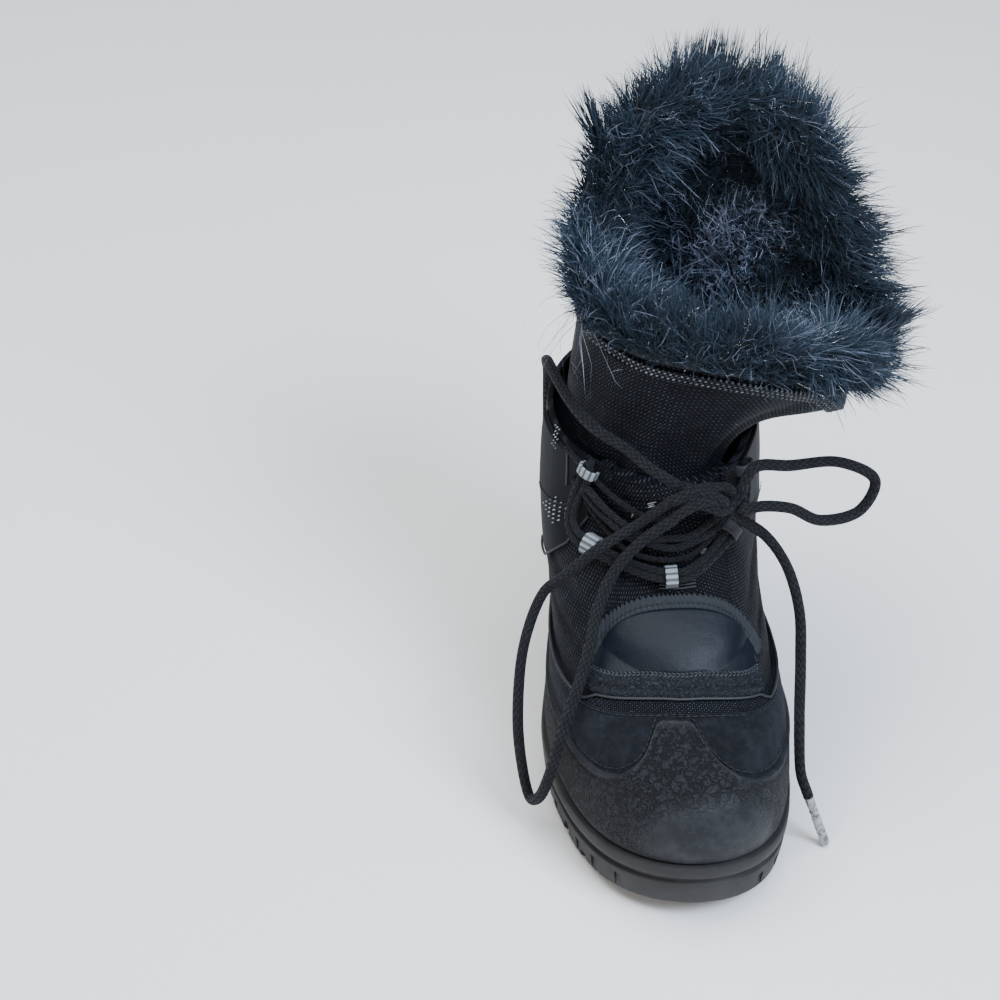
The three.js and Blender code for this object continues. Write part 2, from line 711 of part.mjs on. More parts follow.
function arch({ at, towards, lift, width }) {
  const inner = LACE_WIDTH / 2 + 2 * GAP;
  const outer = inner + WEBBING_THICKNESS;
  const feet = lift - LACE_HEIGHT;
  const shape = new THREE.Shape();
  shape.moveTo(outer, feet);
  shape.lineTo(outer, 0);
  shape.absarc(0, 0, outer, 0, Math.PI, false);
  shape.lineTo(-outer, feet);
  shape.lineTo(-inner, feet);
  shape.lineTo(-inner, 0);
  shape.absarc(0, 0, inner, Math.PI, 0, true);
  shape.lineTo(inner, feet);
  const extrusion = { depth: width, steps: 1, bevelEnabled: false, curveSegments: 5 };
  const geometry = new THREE.ExtrudeGeometry(shape, extrusion);
  geometry.translate(0, 0, -width / 2);
  const middle = onUpper(at, LACE_HEIGHT);
  const out = onUpper(at, LACE_HEIGHT + 1).sub(middle).normalize();
  const along = onUpper(towards, LACE_HEIGHT).sub(middle);
  along.addScaledVector(out, -along.dot(out)).normalize();
  const across = vec(0, 0, 0).crossVectors(out, along);
  geometry.applyMatrix4(new THREE.Matrix4().makeBasis(across, out, along).setPosition(middle));
  return geometry;
}
for (const loop of LOOPS) add(loop.name, geometryOf(solid(arch(loop))), "webbing");

// The bow, in millimetres: a knot, two loops and two ends with their aglets. The outer loop
// hangs down the outer side and the inner end hangs to the floor on the inner side.
const KNOT_AT = vec(12, -14, 121);
const KNOT_SIZE = vec(11, 6, 7);
const LOOP_INNER = [
  [24.2, -14, 123],
  [29.2, -10, 130.5],
  [42.5, -6, 128.8],
  [60.9, -3, 128.3],
  [74.3, -3, 120.5],
  [69.4, -6, 109.4],
  [54.4, -12, 109],
  [42.2, -16, 117],
  [31, -18, 119],
  [24.6, -18, 117],
];
const LOOP_OUTER = [
  [-0.5, -18, 121.5],
  [-12, -14.5, 109],
  [-27.5, -18, 99.5],
  [-38.5, -17, 87.5],
  [-46, -13, 77],
  [-52.8, -25, 64.1],
  [-55.3, -35, 43.8],
  [-54.6, -45, 28.2],
  [-50.8, -54, 13],
  [-47.6, -60, 18.5],
  [-44.2, -63, 31],
  [-39.2, -60, 51],
  [-34.2, -52, 63],
  [-29.8, -41, 72],
  [-26.8, -31, 82],
  [-21, -23, 93],
  [-12, -20, 104],
  [0.5, -20, 115],
];
const END_INNER = [
  [20.2, -15.8, 114.8],
  [27, -14, 109.5],
  [35, -14, 103],
  [42.5, -18, 93],
  [47.5, -25, 78],
  [48.2, -34, 62],
  [46.8, -52, 48],
  [47.6, -61, 31],
  [49.6, -62.5, 25],
  [50.9, -63, 21.5],
];
const END_OUTER = [
  [2.4, -13.4, 124.4],
  [-8, -10.5, 130],
  [-17, -2, 133.5],
  [-28, 8, 136],
  [-37, 24, 139],
  [-42.5, 45, 139],
  [-44, 64, 132],
  [-43, 80, 118],
  [-42.5, 86, 100],
  [-42.5, 87, 82],
];
const asPoints = (rows) => rows.map(([x, y, z]) => vec(x, y, z));

const knot = new THREE.SphereGeometry(1, 10, 8);
knot.scale(KNOT_SIZE.x, KNOT_SIZE.y, KNOT_SIZE.z);
knot.translate(KNOT_AT.x, KNOT_AT.y, KNOT_AT.z);
add("lace_knot", geometryOf(solid(knot)), "lace");
const CORDS = [
  { name: "lace_loop_inner", rows: LOOP_INNER, steps: 22 },
  { name: "lace_loop_outer", rows: LOOP_OUTER, steps: 32 },
  { name: "lace_end_inner", rows: END_INNER, steps: 18, aglet: "aglet_inner" },
  { name: "lace_end_outer", rows: END_OUTER, steps: 18, aglet: "aglet_outer" },
];
for (const cord of CORDS) {
  const points = asPoints(cord.rows);
  add(cord.name, geometryOf(solid(cordAlong(points, LACE_WIDTH, cord.steps))), "lace");
  if (!cord.aglet) continue;
  const last = points[points.length - 1];
  const direction = last.clone().sub(points[points.length - 2]).normalize();
  const tube = new THREE.CylinderGeometry(AGLET_WIDTH / 2, AGLET_WIDTH / 2, AGLET_LENGTH, 10);
  const turn = new THREE.Quaternion().setFromUnitVectors(vec(0, 1, 0), direction);
  const middle = last.clone().addScaledVector(direction, AGLET_LENGTH / 2 + GAP);
  tube.applyQuaternion(turn);
  tube.translate(middle.x, middle.y, middle.z);
  add(cord.aglet, geometryOf(solid(tube)), "aglet");
}

export default boot;
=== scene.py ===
# Looks of a child's winter boot for the right foot: lugged sole, grained rubber shell, suede
# mudguard, leather saddle, coarse woven nylon, round laces in webbing loops and a fur collar.
#
# Sizes in the tables are millimetres. "around" runs once round the boot: 0 at the front, 0.25
# on the inner side, 0.5 at the heel, -0.25 on the outer side. "level" climbs from the feather
# line, where upper and sole meet, to 14 at the seam between upper and gaiter.
import math

import bpy
import numpy as np
from mathutils import Matrix, Vector


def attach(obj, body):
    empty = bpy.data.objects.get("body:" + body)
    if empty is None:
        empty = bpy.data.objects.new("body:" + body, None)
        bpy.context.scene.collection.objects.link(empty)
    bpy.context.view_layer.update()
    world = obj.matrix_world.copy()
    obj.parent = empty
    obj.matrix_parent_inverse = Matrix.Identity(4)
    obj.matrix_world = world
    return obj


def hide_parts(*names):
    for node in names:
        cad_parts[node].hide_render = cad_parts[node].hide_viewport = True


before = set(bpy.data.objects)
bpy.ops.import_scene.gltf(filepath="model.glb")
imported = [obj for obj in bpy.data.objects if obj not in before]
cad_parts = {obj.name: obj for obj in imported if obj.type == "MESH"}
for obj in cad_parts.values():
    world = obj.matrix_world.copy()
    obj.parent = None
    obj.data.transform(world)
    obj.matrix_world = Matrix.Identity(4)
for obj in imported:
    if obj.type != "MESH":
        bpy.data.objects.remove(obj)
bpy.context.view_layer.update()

MM = 0.001
TURN = 2 * math.pi
scene = bpy.context.scene

# The boot's last and its layers, in millimetres
UPPER_LENGTH = 204
BALL_WIDTH = 84
SEAM_HEIGHT = 99
UPPER_WALL = 2.4
SHELL_WALL = 2.5
SUEDE_WALL = 1.3
GAP = 0.3
TOE_SOLE = 26
BALL_SOLE = 20
HEEL_SOLE = 28
TOE_SPRING = 7
TREAD_DEPTH = 5
TONGUE_WALL = 4
GAITER_WALL = 2.2
RIM_WIDTH = 102
RIM_DEPTH = 97
RIM_LEAN = 18
RIM_BACK = 43
GAITER_PUFF = 4
FUR_PILE = 20
FUR_THICKNESS = 21
LACE_WIDTH = 4.8
AGLET_LENGTH = 22
AGLET_WIDTH = 3.4
THROAT_WIDTH = 44

# Rings of the upper: shares of length behind the toe, of the seam's height and of ball width.
RING_FRONT = [
    0.0, -0.004, 0.002, 0.018, 0.048, 0.092, 0.147, 0.21,
    0.274, 0.333, 0.381, 0.42, 0.449, 0.468, 0.479,
]
RING_FRONT_RISE = [
    0.0, 0.07, 0.145, 0.21, 0.26, 0.298, 0.333, 0.375,
    0.43, 0.504, 0.59, 0.683, 0.784, 0.89, 0.98,
]
RING_BACK = [
    1.0, 1.008, 1.01, 1.008, 1.003, 0.996, 0.989, 0.984,
    0.981, 0.979, 0.978, 0.978, 0.979, 0.981, 0.983,
]
RING_BACK_RISE = [
    0.0, 0.095, 0.19, 0.275, 0.355, 0.43, 0.5, 0.57,
    0.635, 0.7, 0.765, 0.835, 0.905, 0.97, 1.02,
]
RING_WIDTH = [
    0.98, 1.0, 1.0, 0.99, 0.98, 0.975, 0.975, 0.975,
    0.98, 0.985, 0.985, 0.98, 0.97, 0.955, 0.94,
]
RING_SIDE = [
    0, 0, 0, 0, -0.005, -0.01, -0.02, -0.03,
    -0.04, -0.048, -0.052, -0.055, -0.055, -0.055, -0.055,
]
RING_FOOT = [
    1.0, 1.0, 0.98, 0.95, 0.88, 0.78, 0.64, 0.48,
    0.32, 0.2, 0.1, 0.04, 0.0, 0.0, 0.0,
]
SEAM_LEVEL = len(RING_FRONT) - 1
GAITER_FOOT = SEAM_LEVEL - 0.5
GAITER_INSET = UPPER_WALL + TONGUE_WALL + 1.6
GAITER_FLARE = 1.5
FOOT_SWELL = [1.34, 1.21, 1.12, 1.07, 1.0, 0.91, 0.86, 0.88, 0.98, 1.1, 1.18]
FOOT_LINE = [0.07, 0.055, 0.035, 0.012, -0.012, -0.03, -0.032, -0.02, -0.008, 0, 0]
FEATHER_TOE = [1, 0.42, 0.1, 0, 0, 0, 0, 0, 0, 0, 0]
FEATHER_HEEL = [0, 0, 0, 0.02, 0.08, 0.25, 0.5, 0.75, 0.9, 0.98, 1]
RIM_HEIGHTS = [165, 153, 142, 206, 224, 218, 178, 168]


def lerp(a, b, share):
    return a + (b - a) * share


def smoothstep(x, low, high):
    share = np.clip((np.asarray(x, float) - low) / (high - low), 0, 1)
    return share * share * (3 - 2 * share)


def unit(v):
    return v / np.maximum(np.linalg.norm(v, axis=-1, keepdims=True), 1e-9)


def cubic(values, at):
    """A smooth value through evenly spaced ones; at counts from 0 to the last index."""
    values = np.asarray(values, float)
    at = np.asarray(at, float)
    last = len(values) - 1
    i = np.clip(np.floor(at), 0, last - 1).astype(int)
    t = at - i
    b, c = values[i], values[i + 1]
    a = np.where(i > 0, values[np.maximum(i - 1, 0)], 2 * b - c)
    d = np.where(i + 2 <= last, values[np.minimum(i + 2, last)], 2 * c - b)
    return b + t * (c - a + t * (2 * a - 5 * b + 4 * c - d + t * (3 * (b - c) + d - a))) / 2


def share_of(values, share):
    return cubic(values, share * (len(values) - 1))


def feather(share):
    toe = share_of(FEATHER_TOE, share) * (TOE_SOLE - BALL_SOLE)
    return BALL_SOLE + toe + share_of(FEATHER_HEEL, share) * (HEEL_SOLE - BALL_SOLE)


def upper_point(level, around):
    level, around = np.broadcast_arrays(np.asarray(level, float), np.asarray(around, float))
    back = (1 - np.cos(TURN * around)) / 2
    side = np.sin(TURN * around)
    foot = cubic(RING_FOOT, level)
    swell = lerp(1, share_of(FOOT_SWELL, back), foot)
    middle = foot * share_of(FOOT_LINE, back) + cubic(RING_SIDE, level) * smoothstep(back, 0, 0.3)
    x = BALL_WIDTH * (middle + cubic(RING_WIDTH, level) / 2 * side * swell)
    y = (lerp(cubic(RING_FRONT, level), cubic(RING_BACK, level), back) - 0.5) * UPPER_LENGTH
    ground = lerp(lerp(BALL_SOLE + 3, HEEL_SOLE, back), feather(back), foot)
    rise = lerp(cubic(RING_FRONT_RISE, level), cubic(RING_BACK_RISE, level), back) * SEAM_HEIGHT
    return np.stack([x, y, ground + rise], -1)


def rim_point(around):
    steps = len(RIM_HEIGHTS)
    z = cubic(RIM_HEIGHTS * 3, steps + (around - np.floor(around)) * steps)
    x = RIM_LEAN + RIM_WIDTH / 2 * np.sin(TURN * around)
    return np.stack([x, RIM_BACK - RIM_DEPTH / 2 * np.cos(TURN * around), z], -1)


def gaiter_point(level, around):
    level, around = np.broadcast_arrays(np.asarray(level, float), np.asarray(around, float))
    outward = np.stack([np.sin(TURN * around), -np.cos(TURN * around), 0 * around], -1)
    foot = upper_point(GAITER_FOOT, around) - GAITER_INSET * outward
    rim = rim_point(around)
    flare = (np.maximum(level, 0) ** GAITER_FLARE)[..., None]
    skin = lerp(foot, rim, flare)
    skin[..., 2] = lerp(foot[..., 2], rim[..., 2], level) + GAITER_PUFF * np.sin(math.pi * level)
    return skin


def skin_of(point, flat_below):
    """A surface with thickness: the points that lie offset outside it."""

    def skin(level, around, offset):
        level, around, offset = np.broadcast_arrays(
            np.asarray(level, float), np.asarray(around, float), np.asarray(offset, float)
        )
        up = point(level + 0.01, around) - point(level - 0.01, around)
        along = point(level, around + 0.001) - point(level, around - 0.001)
        normal = unit(np.cross(along, up))
        if flat_below:
            normal[..., 2] *= smoothstep(level, 0, flat_below)
        return point(level, around) + unit(normal) * offset[..., None]

    return skin


upper_skin = skin_of(upper_point, 1.5)
gaiter_skin = skin_of(gaiter_point, 0)


def lumps(points, size, seed):
    """Smooth random hills about size apart, between about -1 and 1."""
    dice = np.random.default_rng(seed)
    total = 0
    for _ in range(9):
        way = unit(dice.normal(size=3)) * TURN / (size * dice.uniform(1.2, 2.6))
        total = total + np.sin(points @ way + dice.uniform(0, TURN))
    return total / 3


# Meshes
def hold(name, mesh):
    piece = bpy.data.objects.new(name, mesh)
    scene.collection.objects.link(piece)
    return piece


def mesh_of(name, points, faces, loop_uv=None, smooth=True):
    mesh = bpy.data.meshes.new(name)
    mesh.from_pydata((np.asarray(points) * MM).tolist(), [], [tuple(f) for f in faces])
    if loop_uv is not None:
        layer = mesh.uv_layers.new(name="cloth")
        layer.data.foreach_set("uv", (np.asarray(loop_uv) * MM).ravel())
    mesh.polygons.foreach_set("use_smooth", [smooth] * len(mesh.polygons))
    mesh.update()
    return mesh


def grid_piece(name, grid, uv, ring, loop, caps=False):
    """A piece from columns of points. ring joins the last column to the first and loop joins
    the last row to the first; uv holds one column and one row more where they join."""
    columns, rows = grid.shape[:2]
    i, j = np.meshgrid(
        np.arange(columns if ring else columns - 1), np.arange(rows if loop else rows - 1),
        indexing="ij",
    )
    i, j = i.ravel(), j.ravel()
    corners = [(i, j), (i + 1, j), (i + 1, j + 1), (i, j + 1)]
    faces = np.stack([(a % columns) * rows + b % rows for a, b in corners], 1)
    flat = grid.reshape(-1, 3)
    a, b, c, d = (flat[faces[:, k]] for k in range(4))
    volume = np.sum(a * np.cross(b, c)) + np.sum(a * np.cross(c, d))
    loop_uv = np.stack([uv[a, b] for a, b in corners], 1)
    if volume < 0:
        faces, loop_uv = faces[:, ::-1], loop_uv[:, ::-1]
    faces = faces.tolist()
    loop_uv = loop_uv.reshape(-1, 2)
    if caps:
        first = list(range(rows))
        last = [(columns - 1) * rows + k for k in range(rows)]
        ends = [first, last[::-1]] if volume > 0 else [first[::-1], last]
        faces += ends
        loop_uv = np.concatenate([loop_uv, np.zeros((2 * rows, 2))])
    return hold(name, mesh_of(name, flat, faces, loop_uv))


def paint(piece, name, values):
    layer = piece.data.attributes.new(name, "FLOAT", "POINT")
    layer.data.foreach_set("value", np.asarray(values, np.float32).ravel())


def run_length(points, axis):
    step = np.linalg.norm(np.diff(points, axis=axis), axis=-1)
    start = np.zeros_like(np.take(step, [0], axis=axis))
    return np.concatenate([start, np.cumsum(step, axis=axis)], axis=axis)


EDGE_STOPS = np.array([0, 0.05, 0.18, 0.4, 0.7])


def sheet(name, skin, around, low, high, wall, lift=0.0, rows=24, soft=1.0, relief=None,
          marks=None, depth=None):
    """A layer cut from sheet and laid on the boot, with rounded edges. around lists its
    columns; the first and last are the same place where it runs all round. relief(level,
    around, points) moves its face, and marks names attributes painted on it in the same way."""
    around = np.asarray(around, float)
    ring = abs(around[-1] - around[0] - 1) < 1e-9
    low = np.broadcast_to(low(around) if callable(low) else low, around.shape)
    high = np.broadcast_to(high(around) if callable(high) else high, around.shape)
    fine = np.linspace(0, 1, 90)
    levels = low[:, None] + (high - low)[:, None] * fine
    arc = run_length(skin(levels, around[:, None], lift), 1)
    total = arc[:, -1:]
    radius = np.minimum(soft, total / 2.3)
    inner = np.linspace(0, 1, rows)[None, :] * (total - 2 * radius) + radius
    stops = np.concatenate([radius * EDGE_STOPS, inner, total - radius * EDGE_STOPS[::-1]], 1)
    at = np.array([np.interp(s, a, lv) for s, a, lv in zip(stops, arc, levels)])
    near = np.clip(np.minimum(stops, total - stops) / radius, 0, 1)
    base = skin(at, around[:, None], lift)
    if not ring:
        sideways = run_length(base, 0)
        near_end = np.clip(np.minimum(sideways, sideways[-1:] - sideways) / soft, 0, 1)
        near = 1 - np.minimum(np.hypot(1 - near, 1 - near_end), 1)
    round_edge = np.sqrt(np.maximum(1 - (1 - near) ** 2, 0))
    face = wall * round_edge
    if relief:
        face = face + relief(at, around[:, None], base) * smoothstep(near, 0.2, 1)
    outside = skin(at, around[:, None], lift + face)
    under = -(wall * 0.25) if depth is None else -depth
    backs = np.linspace(rows + 9, 0, max(rows // 5, 5)).round().astype(int)
    inside = skin(at[:, backs], around[:, None], lift + under)
    grid = np.concatenate([outside, inside], 1)
    along = run_length(outside, 0)
    middle = np.argmin(np.abs(around - np.round(around.mean())))
    u = (along - along[middle]).mean(1, keepdims=True) + 0 * stops
    v = stops + 0 * u
    uv = np.stack([u, v], -1)
    back_uv = uv[:, backs]
    uv = np.concatenate([uv, back_uv, uv[:, :1]], 1)
    columns = len(around) - 1 if ring else len(around)
    piece = grid_piece(name, grid[:columns], uv, ring, True, caps=not ring)
    all_levels = np.concatenate([at, at[:, backs]], 1)[:columns]
    for mark, rule in (marks or {}).items():
        places = np.broadcast_to(around[:columns, None], all_levels.shape)
        paint(piece, mark, rule(all_levels, places, grid[:columns]))
    return piece


def crowded(count, start=-0.5, stop=0.5, crowding=0.4):
    """Columns round the boot, closer together over the toe."""
    even = np.linspace(start, stop, count + 1)
    return even - crowding * np.sin(TURN * even) / TURN


def smooth_path(points, step):
    """A smooth route through points, as even steps. The same curve as the solids' routes."""
    p = np.asarray(points, float)
    p = np.vstack([2 * p[0] - p[1], p, 2 * p[-1] - p[-2]])
    out = []
    for k in range(1, len(p) - 2):
        q = p[k - 1 : k + 3]
        knots = np.concatenate([[0], np.cumsum(np.linalg.norm(np.diff(q, axis=0), axis=1) ** 0.5)])
        t = np.linspace(knots[1], knots[2], 24, endpoint=False)[:, None]

        def blend(a, b, ta, tb):
            return (tb - t) / (tb - ta) * a + (t - ta) / (tb - ta) * b

        a1 = blend(q[0], q[1], knots[0], knots[1])
        a2 = blend(q[1], q[2], knots[1], knots[2])
        a3 = blend(q[2], q[3], knots[2], knots[3])
        b1 = blend(a1, a2, knots[0], knots[2])
        b2 = blend(a2, a3, knots[1], knots[3])
        out.append(blend(b1, b2, knots[1], knots[2]))
    route = np.vstack(out + [p[-2:-1]])
    length = run_length(route, 0)
    even = np.linspace(0, length[-1], max(int(length[-1] / step), 4) + 1)
    return np.stack([np.interp(even, length, route[:, k]) for k in range(3)], 1)


def path_frames(path):
    """A sideways and an upward direction at each point of a path, without twist."""
    tangent = unit(np.gradient(path, axis=0))
    side = np.cross(tangent[0], [0, 0, 1.0])
    if np.linalg.norm(side) < 0.2:
        side = np.cross(tangent[0], [1.0, 0, 0])
    sides = []
    for way in tangent:
        side = side - way * side.dot(way)
        side = side / np.linalg.norm(side)
        sides.append(side)
    sides = np.array(sides)
    return tangent, sides, np.cross(tangent, sides)


def tube(name, path, radius, sides=14, flatten=1.0, end=0.0):
    """A round cord along a path, with UVs round it and along it. end rounds off its ends."""
    _, side, up = path_frames(path)
    length = run_length(path, 0)
    radius = np.broadcast_to(radius, len(path)).astype(float)
    if end:
        near = np.clip(np.minimum(length, length[-1] - length) / end, 0, 1)
        radius = radius * np.sqrt(np.maximum(1 - (1 - near) ** 2, 0.02))
    turn = np.linspace(0, TURN, sides, endpoint=False)
    grid = (
        path[:, None]
        + radius[:, None, None] * np.cos(turn)[None, :, None] * side[:, None]
        + flatten * radius[:, None, None] * np.sin(turn)[None, :, None] * up[:, None]
    )
    round_it = np.linspace(0, 1, sides + 1)[None, :] + 0 * length[:, None]
    uv = np.stack([round_it * 1000, length[:, None] + 0 * round_it], -1)
    return grid_piece(name, grid, uv, False, True, caps=True)


def joined(name, pieces):
    """Several loose pieces as one mesh."""
    with bpy.context.temp_override(
        active_object=pieces[0], object=pieces[0], selected_objects=pieces,
        selected_editable_objects=pieces,
    ):
        bpy.ops.object.join()
    pieces[0].name = name
    return pieces[0]


# Finishes
class Nodes:
    """Shader or geometry nodes, added one line at a time."""

    def __init__(self, tree):
        self.tree = tree

    def add(self, kind, inputs=None, **settings):
        node = self.tree.nodes.new(kind)
        for key, value in settings.items():
            setattr(node, key, value)
        for key, value in (inputs or {}).items():
            if isinstance(value, bpy.types.NodeSocket):
                self.tree.links.new(value, node.inputs[key])
            else:
                node.inputs[key].default_value = value
        return node

    def math(self, operation, a, b=0.0, c=0.0):
        inputs = {0: a, 1: b, 2: c}
        return self.add("ShaderNodeMath", inputs, operation=operation).outputs[0]

    def ramp(self, value, low, high, to_low=0.0, to_high=1.0):
        inputs = {"Value": value, 1: low, 2: high, 3: to_low, 4: to_high}
        node = self.add("ShaderNodeMapRange", inputs, interpolation_type="SMOOTHSTEP")
        return node.outputs[0]

    def blend(self, share, a, b):
        inputs = {0: share, 6: a, 7: b}
        return self.add("ShaderNodeMix", inputs, data_type="RGBA").outputs[2]

    def scaled(self, place, scale):
        inputs = {0: place, "Scale": scale}
        return self.add("ShaderNodeVectorMath", inputs, operation="SCALE").outputs[0]

    def noise(self, place, size_mm, detail=2.0, roughness=0.5, distortion=0.0):
        inputs = {
            "Vector": place, "Scale": 1000 / size_mm, "Detail": detail,
            "Roughness": roughness, "Distortion": distortion,
        }
        return self.add("ShaderNodeTexNoise", inputs).outputs["Fac"]

    def mark(self, name):
        return self.add("ShaderNodeAttribute", attribute_name=name).outputs["Fac"]

    def object_place(self):
        return self.add("ShaderNodeTexCoord").outputs["Object"]

    def cloth_place(self):
        return self.add("ShaderNodeUVMap", uv_map="cloth").outputs[0]


def effect(name, inputs, outputs, build):
    """A node group with named inputs and outputs."""
    group = bpy.data.node_groups.new(name, "ShaderNodeTree")
    for label, kind, value in inputs:
        socket = group.interface.new_socket(label, in_out="INPUT", socket_type=kind)
        if value is not None:
            socket.default_value = value
    for label in outputs:
        group.interface.new_socket(label, in_out="OUTPUT", socket_type="NodeSocketFloat")
    nodes = Nodes(group)
    ends = build(nodes, nodes.add("NodeGroupInput").outputs)
    nodes.add("NodeGroupOutput", dict(zip(outputs, ends)))
    return group


FLOAT = "NodeSocketFloat"
VECTOR = "NodeSocketVector"


def build_basket_weave(n, given):
    """Two threads that go over and under each other, one pitch apart. Glint is a painted highlight on the
    threads' crowns.
    """
    across = n.scaled(given["Place"], n.math("DIVIDE", 1.0, given["Pitch"]))
    cell = n.add("ShaderNodeSeparateXYZ", {0: across}).outputs
    row, pick = n.math("FLOOR", cell[0]), n.math("FLOOR", cell[1])
    half = n.math("FRACT", n.math("MULTIPLY", n.math("ADD", row, pick), 0.5))
    over = n.math("MULTIPLY", half, 2.0)
    fx, fy = n.math("FRACT", cell[0]), n.math("FRACT", cell[1])
    under = n.math("SUBTRACT", 1.0, over)
    width = n.math("ADD", n.math("MULTIPLY", fx, under), n.math("MULTIPLY", fy, over))
    length = n.math("ADD", n.math("MULTIPLY", fy, under), n.math("MULTIPLY", fx, over))
    thread = n.math("SINE", n.math("MULTIPLY", width, math.pi))
    bulge = n.math("SINE", n.math("MULTIPLY", length, math.pi))
    rise = n.math("MULTIPLY_ADD", bulge, 0.7, 0.3)
    height = n.math("MULTIPLY", n.math("SQRT", thread), rise)
    corner = n.add("ShaderNodeCombineXYZ", {0: row, 1: pick}).outputs[0]
    chance = n.add("ShaderNodeTexWhiteNoise", {"Vector": corner}).outputs["Value"]
    crown = n.ramp(height, 0.5, 0.95)
    glint = n.math("MULTIPLY", crown, n.math("MULTIPLY_ADD", over, 0.75, 0.25))
    return height, n.math("MULTIPLY", glint, n.math("MULTIPLY_ADD", chance, 0.7, 0.45))


basket_weave = effect(
    "basket_weave",
    [("Place", VECTOR, None), ("Pitch", FLOAT, 0.0011)],
    ["Height", "Glint"],
    build_basket_weave,
)


def build_wrinkle_grain(n, given):
    """Winding creases between low pebbles, as on grained rubber or worn leather."""
    place = n.scaled(given["Place"], n.math("DIVIDE", 1.0, given["Size"]))
    one = {"Scale": 1.0, "Detail": 2.5, "Roughness": 0.55, "Distortion": 0.7}
    winding = n.add("ShaderNodeTexNoise", {**one, "Vector": place}).outputs["Fac"]
    ridge = n.math("ABSOLUTE", n.math("SUBTRACT", winding, 0.5))
    crease = n.ramp(ridge, 0.012, 0.085, 1.0, 0.0)
    cells = n.add("ShaderNodeTexVoronoi", {"Vector": place, "Scale": 1.7}, feature="DISTANCE_TO_EDGE")
    pebble = n.ramp(cells.outputs["Distance"], 0.0, 0.28)
    height = n.math("SUBTRACT", n.math("MULTIPLY", pebble, 0.55), crease)
    return height, crease


wrinkle_grain = effect(
    "wrinkle_grain",
    [("Place", VECTOR, None), ("Size", FLOAT, 0.003)],
    ["Height", "Crease"],
    build_wrinkle_grain,
)


def build_settled_dust(n, given):
    """Pale dust in clouds, thickest near the floor."""
    place = n.object_place()
    height = n.add("ShaderNodeSeparateXYZ", {0: place}).outputs[2]
    low = n.ramp(height, 0.0, given["Reach"], 1.0, 0.0)
    clouds = n.ramp(n.noise(place, 26, 4.0, 0.62), 0.35, 0.75)
    specks = n.ramp(n.noise(place, 1.6, 2.0, 0.6), 0.55, 0.75)
    mixed = n.math("MULTIPLY_ADD", specks, 0.25, n.math("MULTIPLY_ADD", clouds, 0.6, 0.25))
    share = n.math("MULTIPLY_ADD", low, 0.7, 0.15)
    return (n.math("MULTIPLY", n.math("MULTIPLY", mixed, share), given["Amount"]),)


settled_dust = effect(
    "settled_dust",
    [("Amount", FLOAT, 1.0), ("Reach", FLOAT, 0.08)],
    ["Mask"],
    build_settled_dust,
)


def build_braid(n, given):
    """Strands that cross each other in a round braid, from the cord's own UVs."""
    place = n.add("ShaderNodeSeparateXYZ", {0: n.cloth_place()}).outputs
    turn = n.math("MULTIPLY", place[0], given["Strands"])
    along = n.math("DIVIDE", place[1], given["Pitch"])
    left = n.math("FRACT", n.math("ADD", turn, along))
    right = n.math("FRACT", n.math("SUBTRACT", turn, along))
    a = n.math("SINE", n.math("MULTIPLY", left, math.pi))
    b = n.math("SINE", n.math("MULTIPLY", right, math.pi))
    row = n.math("FLOOR", n.math("ADD", turn, along))
    pick = n.math("FLOOR", n.math("SUBTRACT", turn, along))
    half = n.math("FRACT", n.math("MULTIPLY", n.math("ADD", row, pick), 0.5))
    over = n.math("MULTIPLY", n.math("ABSOLUTE", half), 2.0)
    under = n.math("SUBTRACT", 1.0, over)
    height = n.math("ADD", n.math("MULTIPLY", a, over), n.math("MULTIPLY", b, under))
    return height, n.ramp(height, 0.55, 0.98)


round_braid = effect(
    "round_braid",
    [("Strands", FLOAT, 5.0), ("Pitch", FLOAT, 0.0032)],
    ["Height", "Crown"],
    build_braid,
)


def finish(name, build):
    """A material with a Principled shader; build gives its linked and plain inputs."""
    material = bpy.data.materials.new(name)
    material.use_nodes = True
    material.node_tree.nodes.clear()
    n = Nodes(material.node_tree)
    shader = n.add("ShaderNodeBsdfPrincipled")
    for key, value in build(n).items():
        if isinstance(value, bpy.types.NodeSocket):
            material.node_tree.links.new(value, shader.inputs[key])
        else:
            shader.inputs[key].default_value = value
    n.add("ShaderNodeOutputMaterial", {"Surface": shader.outputs[0]})
    return material


def bump(n, height, depth_mm, strength=1.0):
    inputs = {"Height": height, "Distance": depth_mm * MM, "Strength": strength}
    return n.add("ShaderNodeBump", inputs).outputs[0]


def colour(red, green, blue):
    return (red, green, blue, 1.0)


DUST = colour(0.06, 0.056, 0.054)


def sole_rubber(n):
    place = n.object_place()
    dust = n.add("ShaderNodeGroup", {"Amount": 0.75, "Reach": 0.05}, node_tree=settled_dust)
    scuff = n.ramp(n.noise(place, 9, 5.0, 0.7), 0.5, 0.8)
    clean, scuffed = colour(0.012, 0.0122, 0.0135), colour(0.026, 0.025, 0.0255)
    base = n.blend(n.math("MULTIPLY", scuff, 0.35), clean, scuffed)
    fine = n.noise(place, 0.9, 3.0, 0.6)
    rough = n.math("MULTIPLY_ADD", scuff, 0.14, 0.6)
    return {
        "Base Color": n.blend(dust.outputs["Mask"], base, DUST),
        "Roughness": rough,
        "Normal": bump(n, fine, 0.12, 0.6),
        "Specular IOR Level": 0.22,
    }


